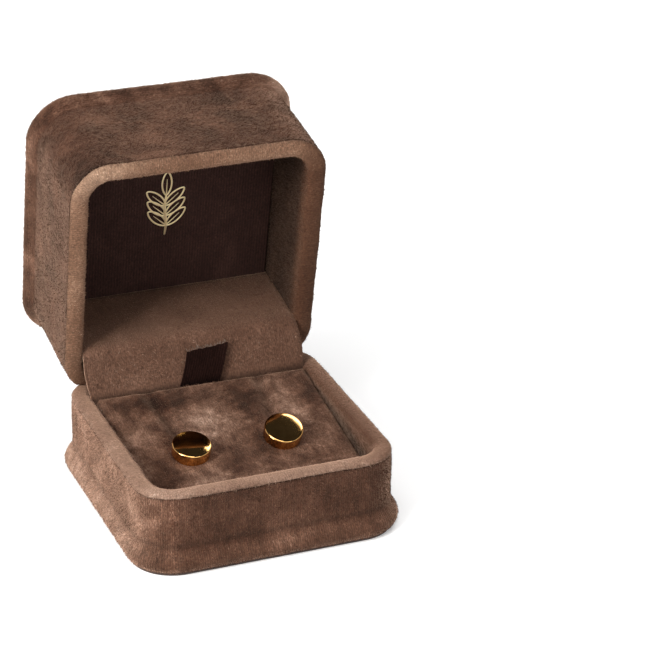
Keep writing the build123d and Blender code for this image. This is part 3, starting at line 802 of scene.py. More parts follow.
@dataclass(frozen=True)
class Velvet(Finish):
    """Cut-pile cloth with a sheen at grazing angles."""

    name: str
    shade: Colour = (0.034, 0.0150, 0.0090)
    tone: Colour = (0.080, 0.0370, 0.0225)
    light: Colour = (0.165, 0.0860, 0.0560)
    patch: float = 0.13
    contrast: float = 0.6
    ribs: float = 0.5
    pitch: float = 0.48
    depth: float = 0.06
    around: bool = False
    specular: float = 0.12
    sheen: float = 1.0
    sheen_tint: Colour = (0.68, 0.43, 0.30)

    def shader(self, sheet: Sheet) -> bpy.types.Node:
        """Principled shader over the velvet's nap."""
        place_mm, runs = self.places(sheet)
        if self.around:
            parts = sheet.add("SeparateXYZ", {0: runs}).outputs
            runs = sheet.add("CombineXYZ", {0: parts[1], 1: parts[0]}).outputs[0]
        painted_shade, nap_and_light = (
            sheet.add("Attribute", attribute_name=title).outputs["Fac"] for title in ("painted_shade", "nap_and_light")
        )
        values = {
            "Place": place_mm, "Runs": runs, "Shade": rgba(self.shade), "Tone": rgba(self.tone),
            "Light": rgba(self.light), "Patch": self.patch, "Contrast": self.contrast, "Ribs": self.ribs,
            "Pitch": self.pitch, "PaintedShade": painted_shade, "NapAndLight": nap_and_light,
        }
        fixed = {"Specular IOR Level": self.specular, "Sheen Weight": self.sheen, "Sheen Roughness": 0.42,
                 "Sheen Tint": rgba(self.sheen_tint)}
        return self.dress(sheet, nap_group(), values, self.depth, fixed)


@dataclass(frozen=True)
class Grain(Finish):
    """Matt stock with a fine grain: felt, card, foam or moulded plastic."""

    name: str
    dark: Colour
    pale: Colour
    fineness: float
    rough: float
    depth: float = 0.04
    sheen: float = 0.0

    def shader(self, sheet: Sheet) -> bpy.types.Node:
        """Principled shader over the grain."""
        place_mm, _ = self.places(sheet)
        values = {
            "Place": place_mm, "Dark": rgba(self.dark), "Pale": rgba(self.pale), "Fineness": self.fineness,
            "Rough": self.rough,
        }
        fixed = {"Specular IOR Level": 0.3, "Sheen Weight": self.sheen}
        return self.dress(sheet, grain_group(), values, self.depth, fixed)


@dataclass(frozen=True)
class Metal(Finish):
    """Plated, pressed or spring metal."""

    name: str
    bright: Colour
    dull: Colour
    gloss: float
    wear: float
    stretch: Triple = (1.0, 1.0, 1.0)
    depth: float = 0.0006

    def shader(self, sheet: Sheet) -> bpy.types.Node:
        """Principled metal over its scratches."""
        place_mm, _ = self.places(sheet)
        values = {
            "Place": place_mm, "Bright": rgba(self.bright), "Dull": rgba(self.dull),
            "Stretch": self.stretch, "Gloss": self.gloss, "Wear": self.wear,
        }
        return self.dress(sheet, metal_group(), values, self.depth, {"Metallic": 1.0})


WALL_VELVET = Velvet("wall_velvet", ribs=1.2, contrast=0.8)
LID_VELVET = Velvet("lid_velvet", ribs=0.5, contrast=1.35, patch=0.12, around=True, sheen=0.75)
# A warmer copy of the rim velvet for the lid's lining; its low sheen is painted shade for the lid's shaded
# inner wall.
LID_RIM_VELVET = Velvet(
    "lid_rim_velvet", tone=(0.080, 0.0355, 0.0195), light=(0.165, 0.0820, 0.0480), contrast=0.35, ribs=0.4,
    sheen=0.35,
)
TOP_VELVET = Velvet("top_velvet", patch=0.1, contrast=1.0, ribs=0.25)
RIM_VELVET = Velvet("rim_velvet", contrast=0.35, ribs=0.4)
FLAP_VELVET = Velvet("flap_velvet", contrast=0.4, ribs=0.4, sheen=0.75)
PAD_VELVET = Velvet("pad_velvet", shade=(0.034, 0.0135, 0.0080), contrast=1.1, patch=0.2, ribs=0.5, sheen=0.5)
PANEL_VELVET = Velvet(
    "panel_velvet", shade=(0.012, 0.0050, 0.0040), tone=(0.026, 0.0112, 0.0088), light=(0.050, 0.023, 0.0175),
    contrast=0.4, ribs=1.0, pitch=0.62, sheen=0.15,
)
RIBBON_CLOTH = Velvet(
    "ribbon_cloth", shade=(0.0045, 0.0016, 0.0011), tone=(0.0085, 0.0030, 0.0022),
    light=(0.019, 0.0075, 0.0055), contrast=0.5, ribs=1.0, pitch=0.55, depth=0.08, specular=0.04, sheen=0.03,
)
FRAYED_THREAD = Grain("frayed_thread", (0.08, 0.055, 0.042), (0.20, 0.15, 0.12), 6.0, 0.7)
DARK_FELT = Grain("dark_felt", (0.020, 0.012, 0.010), (0.075, 0.05, 0.04), 5.0, 0.8, depth=0.12, sheen=0.2)
GREY_CARD = Grain("grey_card", (0.24, 0.21, 0.17), (0.45, 0.40, 0.33), 3.0, 0.75)
MOULDED_SHELL = Grain("moulded_shell", (0.035, 0.026, 0.022), (0.085, 0.065, 0.056), 2.0, 0.45, depth=0.015)
GOLD_PLATE = Metal("gold_plate", (0.80, 0.47, 0.17), (0.66, 0.36, 0.12), 0.045, 0.04, (1.0, 1.0, 6.0))
GOLD_FOIL = Metal("gold_foil", (0.82, 0.68, 0.36), (0.62, 0.47, 0.22), 0.28, 0.2, depth=0.03)
SPRING_STEEL = Metal("spring_steel", (0.62, 0.60, 0.56), (0.42, 0.40, 0.37), 0.28, 0.12, (0.2, 4.0, 4.0))


# The two halves of the box


@dataclass
class Walls:
    """Velvet round one half of the box: the outer wrap, and the lining folded over the rim."""

    sizes: BoxSizes
    side: Side
    groove: float = 1.0
    groove_depth: float = 0.6
    inner_fall: float = 1.5
    seam_wander: float = 0.16
    waviness: float = 0.07
    fuzz: float = 0.03
    pile_room: float = 0.32
    rim_ease: float = 0.1
    rim_cut: float = 0.6
    streaks: float = 0.12
    streak_wave: float = 4.5
    streak_stretch: float = 0.2
    long_wave: float = 11.0
    short_wave: float = 3.5
    short_share: float = 0.35
    seam_wave: float = 7.0
    cut_softness: float = 0.12
    bevel_gap: float = 0.2
    leaf_front: float = 1.3
    leaf_back: float = 0.3
    wrap_back: float = -0.75
    lining_thickness: float = 0.7
    groove_shade: float = 0.6
    inner_shade: float = 0.45
    # Brightness of each side of the wrap and the lining: partly the pile's lean, partly painted light for how
    # the lamps fall on that side.
    wrap_painted_light: Triple = (-0.55, 0.50, 0.0)
    lining_painted_light: Triple = (-0.5, -0.6, 0.4)
    seed: int = 11

    def rim(self) -> float:
        """Height of the side's own rim on the closed box."""
        return self.sizes.rim if self.side is Side.BASE else self.sizes.mouth

    def outline(self) -> Outline:
        """Outline of the walls over the velvet."""
        return Outline(self.sizes.wall_width, self.sizes.wall_depth, self.sizes.corner_radius)

    def back_limit(self, x: np.ndarray, y: np.ndarray) -> np.ndarray:
        """How far the velvet may reach towards the other half, measured from the hinge axis.

        It is the least of the bevel, a line with half the opening's slope, the round space of the
        barrel, and the window of the leaf. On the lid the bevel ends where its rim meets the base's.

        Args:
            x: Places across the box.
            y: Depths.

        Returns:
            Heights from the axis, negative away from the other half.
        """
        sizes = self.sizes
        behind = y - sizes.hinge_y
        limit = -behind * math.tan(math.radians(sizes.open_angle / 2)) - self.bevel_gap
        if self.side is Side.LID:
            opening = math.radians(sizes.open_angle)
            meeting = (sizes.hinge_z - sizes.rim - behind * math.sin(opening)) / math.cos(opening)
            limit = np.maximum(limit, meeting)
        inside = np.abs(x) < sizes.window_half
        barrel = -np.sqrt(np.maximum(sizes.barrel_space**2 - behind**2, 0))
        limit = np.where(inside & (np.abs(behind) < sizes.barrel_space), np.minimum(limit, barrel), limit)
        window = inside & (behind > -self.leaf_front) & (behind < self.leaf_back)
        return np.where(window, np.minimum(limit, -sizes.window_reach), limit)

    def cloth(self, shown: np.ndarray, hidden: np.ndarray, painted_shade: np.ndarray, lean: Sequence[float],
              lit: np.ndarray | float, seed: int) -> Surface:
        """Closed loop of cloth round the outline, wavy where it shows and cut back at the hinge.

        Args:
            shown: (m, 2) profile of (standout, height) on the closed box, where it shows.
            hidden: The rest of the loop.
            painted_shade: Painted shade of creases along the shown part.
            lean: Pile lean and painted light by side: (a, b, c) of a x + b y + c for the outline's normal (x,
                y).
            lit: Painted light that the shown profile adds to it.
            seed: Start of the random draw.

        Returns:
            The surface, on the closed box.
        """
        path = np.vstack((shown, hidden))
        points, run = self.outline().swept(path)
        _, normal = self.outline().core()
        weight = np.append(np.ones(len(shown)), np.zeros(len(hidden)))
        weight[[0, len(shown) - 1]] = 0
        wave = self.waviness * ripple(points, self.long_wave, seed)
        wave = wave + self.short_share * self.waviness * ripple(points, self.short_wave, seed + 1)
        draw = np.random.default_rng(seed)
        wave = (wave + self.fuzz * draw.normal(size=wave.shape)) * weight
        points[..., :2] += normal[:, None] * (wave - self.pile_room * weight)[..., None]
        seam = bump(path[:, 1] - self.rim() + self.side.value * self.groove, 0.5) * weight
        points[..., 2] += self.seam_wander * ripple(points, self.seam_wave, self.seed + 2) * seam
        sign, axis = self.side.value, self.sizes.hinge_z
        limit = axis + sign * self.back_limit(points[..., 0], points[..., 1])
        points[..., 2] = sign * soft_least(sign * points[..., 2], sign * limit, self.cut_softness)
        shade = np.append(painted_shade, np.ones(len(hidden)))
        # Each side's brightness by its normal: partly the pile's lean, partly painted light for how the lamps
        # fall on that side.
        nap_and_light = (normal @ np.array(lean[:2]) + lean[2])[:, None]
        nap_and_light = nap_and_light + np.append(np.broadcast_to(lit, len(shown)), np.zeros(len(hidden)))
        stretched = points * (self.streak_stretch, self.streak_stretch, 1.0)
        nap_and_light = nap_and_light + self.streaks * ripple(stretched, self.streak_wave, seed + 7)
        cut = 1 - self.rim_cut * bump(path[:, 1] - self.rim(), 0.6)
        return Surface(points, run, run_along(path, True), True, True, painted_shade=shade, nap_and_light=nap_and_light, cut=cut)

    def wrap_profile(self) -> tuple[np.ndarray, np.ndarray]:
        """Shown and hidden profile of the outer wrap."""
        raise NotImplementedError

    def lining_profile(self) -> tuple[np.ndarray, np.ndarray]:
        """Shown and hidden profile of the lining: a rolled band over the rim, then the inner wall."""
        sign, inner, far = self.side.value, -self.sizes.wall_thickness, self.lining_end()
        under, hidden = self.rim() - sign * self.groove, inner + self.lining_thickness
        turn = np.linspace(0.12, math.pi - 0.02, 34)
        fall = np.where(turn < math.pi / 2, self.groove, self.inner_fall) * (1 - np.sin(turn) ** 0.72)
        across = inner / 2 - (inner / 2 - 0.03) * np.sign(np.cos(turn)) * np.abs(np.cos(turn)) ** 0.82
        band = np.stack((across, self.rim() - sign * (self.rim_ease + fall)), 1)
        wall = rounded_path([tuple(band[-1]) + (0,), (inner, far, 0)], step=0.6)[1:]
        start = np.array([(-self.groove_depth, under)])
        return np.vstack((start, band, wall)), np.array([(hidden, far), (hidden, under)])

    def lining_end(self) -> float:
        """Height at which the lining ends inside."""
        raise NotImplementedError

    def in_groove(self, path: np.ndarray) -> np.ndarray:
        """Painted shade of a profile: 1 deep in the groove between the wrap and the rolled band, more down
        the inner wall.
        """
        near = bump(path[:, 1] - self.rim() + self.side.value * self.groove, 0.42)
        inside = np.clip((np.abs(path[:, 1] - self.rim()) - 1.2) / 3, 0, 1) * (path[:, 0] < -3)
        groove = self.groove_shade * near * np.clip(0.6 - path[:, 0] / 0.3, 0, 1) * (path[:, 0] > -2)
        return groove + self.inner_shade * inside


@dataclass
class Base(Walls):
    """Base of the box: wrap over the swollen foot, rim lining and the felt it stands on."""

    floor: float = 3.0
    pad_level: float = 10.2
    pad_slope: float = 9.8
    pad_shadow: float = 2.2
    turn_in: float = 4.1
    felt_inset: float = 0.6
    swell_lit: float = 0.4
    swell_middle: float = 3.4
    neck_shade: float = 0.4

    def lining_end(self) -> float:
        """The lining ends on the base's floor."""
        return self.floor

    def wrap_profile(self) -> tuple[np.ndarray, np.ndarray]:
        """Turned in under the foot, out round its lower edge, over the swell and up to the groove."""
        sizes = self.sizes
        low, top = sizes.foot_bottom, sizes.rim - self.groove - 0.02
        edge = sizes.swell_edge_share * sizes.foot_swell
        under = rounded_path([(edge - 1.2, low, 0), (edge - 0.3, low + 0.02, 0)], step=0.4)
        rise = np.linspace(0.3, sizes.foot_height, 22)
        foot = np.stack((sizes.swell(rise, sizes.foot_height), low + rise), 1)
        neck, inner = low + sizes.foot_height, low - self.wrap_back
        wall = rounded_path([(0, neck + 0.4, 0), (0, top, 0.5), (-self.groove_depth, top, 0)], step=0.42)
        hidden = np.array([
            (self.wrap_back, top - 0.9), (self.wrap_back, 6.5), (0.7, 3.2), (-0.1, inner),
            (-self.turn_in, inner), (-self.turn_in, low),
        ])
        return np.vstack((under, foot, wall)), hidden

    def build(self) -> list[bpy.types.Object]:
        """Makes the base's cloth.

        Returns:
            Its pieces.
        """
        shown, hidden = self.wrap_profile()
        # Painted highlight on the crest of the foot's swell, and painted shade at its neck.
        above_foot = shown[:, 1] - self.sizes.foot_bottom
        swell_highlight = self.swell_lit * bump(above_foot - self.swell_middle, 1.5)
        neck = self.neck_shade * bump(above_foot - self.sizes.foot_height, 0.7)
        wrap = self.cloth(shown, hidden, self.in_groove(shown) + neck, self.wrap_painted_light, swell_highlight, self.seed)
        wrap_piece = build_piece("base_velvet_wrap", [wrap], WALL_VELVET)
        place(wrap_piece, "base", "velvet", ["base_outer_wrap"])
        stand_pile("base_wrap_pile", wrap, slice(0, len(shown) - 1), WALL_VELVET, "base")
        shown, hidden = self.lining_profile()
        lining = self.cloth(shown, hidden, self.in_groove(shown), self.lining_painted_light, 0.0, self.seed + 5)
        lining.painted_shade = lining.painted_shade + self.beside_pad(lining.points)
        lining_piece = build_piece("base_velvet_lining", [lining], RIM_VELVET)
        place(lining_piece, "base", "velvet", ["base_rim_lining"])
        stand_pile("base_lining_pile", lining, slice(0, len(shown) - 1), RIM_VELVET, "base")
        felt_piece = build_piece("underside_felt_sheet", [self.felt()], DARK_FELT)
        place(felt_piece, "base", "felt", ["underside_felt"])
        return [wrap_piece, lining_piece, felt_piece]

    def beside_pad(self, points: np.ndarray) -> np.ndarray:
        """Shade on the inner walls, deepening over the last bit of height down to the sloping pad."""
        from_front = points[..., 1] + self.sizes.wall_depth / 2
        level = self.pad_level + math.tan(math.radians(self.pad_slope)) * from_front
        below_rim = np.clip((self.sizes.rim - points[..., 2] - 1.0) / 1.5, 0, 1)
        return 0.9 * below_rim * np.clip(1.2 - (points[..., 2] - level) / self.pad_shadow, 0, 1)

    def felt(self) -> Surface:
        """Felt under the base: flat faces with a soft edge, inset from the foot."""
        edge = self.sizes.swell_edge_share * self.sizes.foot_swell - self.felt_inset
        top = self.sizes.foot_bottom + 0.02
        rim = rounded_path([(edge, 0, 0), (edge, top, 0)], step=0.2)
        inwards = np.linspace(0, 1, 9)[:-1]
        shares = np.concatenate((inwards, np.ones(len(rim)), inwards[::-1]))
        path = np.vstack((flat_run(8, edge, 0), rim, flat_run(8, edge, top)))
        points, run = self.outline().rings(shares, path)
        return Surface(points, run, shares, True, planar=points[..., :2].copy())


@dataclass
class Lid(Walls):
    """Lid: wrap with its bead, rim lining, padded top, dark ceiling panel and its gold sprig."""

    seed: int = 31
    pile_room: float = 0.0
    # Brightness of each side of the lid's wrap and lining: partly the pile's lean, partly painted light for
    # how the lamps fall on that side.
    wrap_painted_light: Triple = (0.40, 0.33, -0.45)
    lining_painted_light: Triple = (-0.42, -0.58, 0.28)
    streaks: float = 0.35
    inner_shade: float = 0.95
    bead_out: float = 2.3
    bead_up: float = 1.7
    bead_middle: float = -0.6
    groove_wall: float = -2.95
    lining_hidden: float = 38.3
    crown_inset: float = 3.3
    crown_drop: float = 3.4
    crown_draw_in: float = 0.4
    crown_flat: float = 0.955
    bead_lit: float = 0.75
    panel_inset: float = 4.0

    def lining_end(self) -> float:
        """The lining ends behind the ceiling panel."""
        return self.lining_hidden

    def wrap_profile(self) -> tuple[np.ndarray, np.ndarray]:
        """From the groove at the mouth, up the wall, over the bead as half an ellipse, into the recess."""
        sizes = self.sizes
        low = sizes.mouth + self.groove + 0.02
        neck = sizes.bead_top - sizes.bead_height
        wall = rounded_path([(-self.groove_depth, low, 0), (0, low, 0.5), (0, neck - 0.4, 0)], step=0.42)
        crest = sizes.bead_top - self.bead_up
        rise = np.linspace(neck, crest, 13)[:-1]
        flank = np.stack((sizes.swell(sizes.bead_top - rise, sizes.bead_height), rise), 1)
        turn = np.linspace(0, math.pi, 25)
        across, up = self.bead_middle + self.bead_out * np.cos(turn), crest + self.bead_up * np.sin(turn)
        bead = np.stack((across, up), 1)
        bottom = sizes.recess_floor + 0.2
        down = rounded_path([(self.groove_wall, crest - 0.4, 0), (self.groove_wall, bottom, 0)], step=0.6)
        hidden = np.array([
            (-2.3, bottom), (-2.3, crest - 0.6), (-0.85, crest - 0.6), (self.wrap_back, neck),
            (self.wrap_back, low + 0.9),
        ])
        return np.vstack((wall, flank, bead, down)), hidden

    def build(self) -> list[bpy.types.Object]:
        """Makes the lid's cloth and foil.

        Returns:
            Its pieces.
        """
        shown, hidden = self.wrap_profile()
        neck = self.sizes.bead_top - self.sizes.bead_height
        # Painted light on the bead, whose flank faces away from the lamps.
        bead_highlight = self.bead_lit * np.clip((shown[:, 1] - neck + 0.5) / 1.5, 0, 1) * (shown[:, 0] > -1)
        shade = self.in_groove(shown) + self.beside_crown(shown)
        wrap = self.cloth(shown, hidden, shade, self.wrap_painted_light, bead_highlight, self.seed)
        lined, under = self.lining_profile()
        lining = self.cloth(lined, under, self.in_groove(lined), self.lining_painted_light, 0.0, self.seed + 5)
        makes = [
            ("lid_velvet_wrap", [wrap], LID_VELVET, "velvet", ["lid_outer_wrap"]),
            ("lid_velvet_lining", [lining], LID_RIM_VELVET, "velvet", ["lid_rim_lining"]),
            ("lid_padded_top", [self.crown()], TOP_VELVET, "velvet", ["lid_top_cover", "lid_top_foam"]),
            ("lid_ceiling_velvet", [self.panel()], PANEL_VELVET, "dark_velvet", ["lid_panel_cover"]),
            ("lid_gold_sprig", self.sprig(), GOLD_FOIL, "gold_foil", ["lid_ornament"]),
        ]
        pieces = []
        for name, surfaces, finish, slot, nodes in makes:
            for surface in surfaces:
                surface.points = self.sizes.open_lid(surface.points)
            pieces.append(place(build_piece(name, surfaces, finish), "lid", slot, nodes))
        top = makes[2][1][0]
        around = Pile(heading=0.0, sweep=0.7)
        stand_pile("lid_wrap_pile", wrap, slice(0, len(shown) - 1), LID_VELVET, "lid", around)
        stand_pile("lid_lining_pile", lining, slice(0, len(lined) - 1), LID_RIM_VELVET, "lid")
        stand_pile("lid_top_pile", top, slice(9, top.points.shape[1] - 1), TOP_VELVET, "lid")
        return pieces

    def beside_crown(self, path: np.ndarray) -> np.ndarray:
        """Painted shade on the inner side of the bead, deepening towards the recess's floor."""
        depth = self.sizes.bead_top - self.bead_up + 0.8 - path[:, 1]
        return np.clip(depth / 1.6, 0, 1) * (path[:, 0] < -2)

    def crown(self) -> Surface:
        """Padded top: z falls from the middle by drop times share^4, then rounds into drawn-in sides."""
        sizes = self.sizes
        edge = sizes.crown_top - self.crown_drop
        inset, foot = -self.crown_inset, sizes.recess_floor
        drawn = inset - self.crown_draw_in
        side = rounded_path([(drawn, foot, 0), (inset, edge - 1.6, 1.0), (inset, edge + 0.1, 0)], step=0.5)
        shares = np.linspace(1, 0, 60)
        past = np.maximum(shares - self.crown_flat, 0) / (1 - self.crown_flat)
        dome = (self.crown_drop - 0.1) * (1 - shares**4) + 0.55 * past
        top = edge + 0.1 + dome * np.sqrt(np.clip(1 - past**2, 0, 1))
        under = np.linspace(0, 1, 10)[:-1]
        all_shares = np.concatenate((under, np.ones(len(side)), shares[1:]))
        rings = np.stack((np.full(59, inset), top[1:]), 1)
        path = np.vstack((flat_run(9, drawn, foot), side, rings))
        points, run = self.outline().rings(all_shares, path)
        lift = np.clip((points[..., 2] - foot) / 3, 0, 1)
        near_edge = bump(all_shares - 0.93, 0.09)[None]
        angle = np.arctan2(points[..., 1], points[..., 0])
        puckers = 0.07 * near_edge * np.sin(23 * angle + 2.0 * np.sin(3 * angle))
        sway = 0.16 * ripple(points, 16.0, self.seed + 8) + 0.05 * ripple(points, 4.0, self.seed + 9)
        points[..., 2] += lift * (sway + puckers)
        shade = np.clip((edge - 0.6 - path[:, 1]) / 1.6, 0, 1)
        return Surface(points, run, all_shares, True, painted_shade=shade, planar=points[..., :2].copy())

    def panel(self) -> Surface:
        """Dark panel in the ceiling: a flat slab with a softly rolled edge."""
        sizes = self.sizes
        inset, face, back = -self.panel_inset, sizes.panel_face, sizes.panel_back
        edge = rounded_path([(inset, back, 0), (inset, face, 0.45), (inset - 1.2, face, 0)], step=0.2)
        inwards = np.linspace(0, 1, 40)[:-1]
        shares = np.concatenate((inwards[::4], np.ones(len(edge)), inwards[::-1]))
        path = np.vstack((flat_run(10, inset, back), edge, flat_run(39, inset - 1.2, face)))
        points, run = self.outline().rings(shares, path)
        unseen = 13
        showing = np.append(np.zeros(unseen), np.ones(len(path) - unseen))
        points[..., 2] += 0.05 * ripple(points, 9.0, self.seed + 12) * showing
        return Surface(points, run, shares, True, planar=points[..., :2].copy())

    def sprig(self) -> list[Surface]:
        """Gold sprig on the panel: a stem, outlined leaves in pairs with a vein each, and one at the tip."""
        sizes = self.sizes
        box = turn_lid(node_points("lid_ornament"), sizes.hinge_y, sizes.hinge_z, -sizes.open_angle)
        low, high = box.min(0), box.max(0)
        middle, foot, tip = (low[0] + high[0]) / 2, high[1], low[1]
        leaf, width, angle, pairs, sway = 5.6, 2.1, 47.0, 3, 0.22
        stem_end = tip + leaf
        pitch = (foot - stem_end) / (pairs + 1)
        run = np.linspace(0, 1, 40)
        stem = np.stack((middle + sway * np.sin(2 * math.pi * run), foot + (stem_end - foot) * run), 1)
        strokes = [(stem, 0.26 * (0.55 + 0.45 * np.sin(math.pi * run)) + 0.08, False)]
        turn = np.linspace(0, 2 * math.pi, 64, endpoint=False)
        sideways = width / 2 * np.sin(turn) * (0.6 + 0.4 * np.abs(np.sin(turn)))
        edge = np.stack((sideways, -leaf * (1 - np.cos(turn)) / 2), 1)
        vein = np.stack((np.zeros(24), -leaf * np.linspace(0.05, 0.72, 24)), 1)
        places = [(stem_end, 0.0)]
        places += [(foot - pitch * p, turned) for p in range(1, pairs + 1) for turned in (-angle, angle)]
        for level, lean in places:
            c, s = math.cos(math.radians(lean)), math.sin(math.radians(lean))
            spin = np.array([(c, s), (-s, c)])
            bend = sway * math.sin(2 * math.pi * (foot - level) / (foot - stem_end))
            at = np.array((middle + bend, level))
            strokes.append((edge @ spin + at, np.full(64, 0.2), True))
            strokes.append((vein @ spin + at, np.linspace(0.16, 0.05, 24), False))
        return [self.stroke(*stroke) for stroke in strokes]

    def stroke(self, line: np.ndarray, half: np.ndarray, closed: bool) -> Surface:
        """Raised line of foil: an upright half ellipse carried along a flat line.

        Args:
            line: (n, 2) points on the panel.
            half: Half its width at each point.
            closed: Whether it closes on itself.

        Returns:
            The surface, on the closed box.
        """
        way = np.roll(line, -1, 0) - np.roll(line, 1, 0) if closed else np.gradient(line, axis=0)
        way /= np.linalg.norm(way, axis=1, keepdims=True)
        normal = np.stack((-way[:, 1], way[:, 0]), 1)
        turn = np.linspace(0, 2 * math.pi, 8, endpoint=False)
        across = half[:, None] * np.cos(turn)
        height = 0.09 * np.sin(turn) * np.minimum(1, half[:, None] / 0.1)
        flat = line[:, None] + across[..., None] * normal[:, None]
        points = np.dstack((flat, self.sizes.panel_face - 0.05 - height))
        if not closed:
            points[[0, -1]] = points[[0, -1]].mean(1, keepdims=True)
        return Surface(points, run_along(line, closed), np.arange(9.0), closed, True)


@dataclass
class HingeStrip:
    """Velvet over the hinge: from behind the insert up a slope, then back along the lid as its floor."""

    sizes: BoxSizes
    thickness: float = 0.8
    half_width: float = 23.7
    bulge: float = 0.4
    foot: float = 12.5
    seam_z: float = 17.2
    columns: int = 150
    nap_and_light: float = 0.35
    seed: int = 51

    def build(self) -> bpy.types.Object:
        """Makes the strip, bent in one piece from behind the insert up along the open lid.

        Returns:
            The piece.
        """
        sizes = self.sizes
        face = sizes.flap_face
        ends = np.array([(0, face, sizes.mouth + 0.5), (0, face, sizes.flap_end + 0.25)])
        fold, end = sizes.open_lid(ends)[:, 1:]
        start = sizes.pad_back + 1.25
        path = rounded_path([
            (start, self.foot, 0), (start, self.seam_z, 1.0), (fold[0] - 0.1, fold[1], 1.5),
            (end[0] - 0.1, end[1], 0),
        ], step=0.35)
        _, normal = ways_along(path)
        run = run_along(path, False)
        between = (path[:, 1] - (self.seam_z + fold[1]) / 2) / (fold[1] - self.seam_z)
        half = self.half_width + self.bulge * bump(between, 0.32)
        across = np.linspace(-1, 1, self.columns)[:, None]
        top = across_path(across * half, path)
        wave = 0.10 * ripple(top, 12.0, self.seed) + 0.025 * ripple(top, 3.0, self.seed + 1)
        wave -= 0.25 * bump(1 - np.abs(across), 0.03)
        loose = np.clip((run - 4) / 3, 0, 1) * np.clip((run[-1] - run) / 2, 0, 1)
        top[..., 1:] += normal * (wave * loose)[..., None]
        bottom = top.copy()
        bottom[..., 1:] -= normal * self.thickness
        shade = 0.55 * bump(path[:, 1] - self.seam_z + 0.3, 0.9) * (path[:, 0] < fold[0] - 2)
        shade = shade + 0.9 * bump(run - run[-1], 0.8) + 0.3 * bump(1 - np.abs(across), 0.02)
        # Darker towards the right edge, and painted shade over the last two fifths towards the strip's end,
        # deep in the open lid.
        nap_and_light = self.nap_and_light - 0.1 * (1 + across) - 0.4 * np.clip(run / run[-1] * 2.5 - 1.5, 0, 1)
        surfaces = slab(top, bottom, painted_shade=shade, nap_and_light=nap_and_light)
        strip = build_piece("hinge_velvet_strip", surfaces, FLAP_VELVET)
        behind = (0, 60, -40)
        pile = Pile().grow("hinge_strip_pile", surfaces[0], slice(20, -1), FLAP_VELVET, self.seed, behind)
        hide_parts("flap_tail", "lid_flap_cover")
        for piece in (strip, pile):
            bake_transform(piece)
        return strip


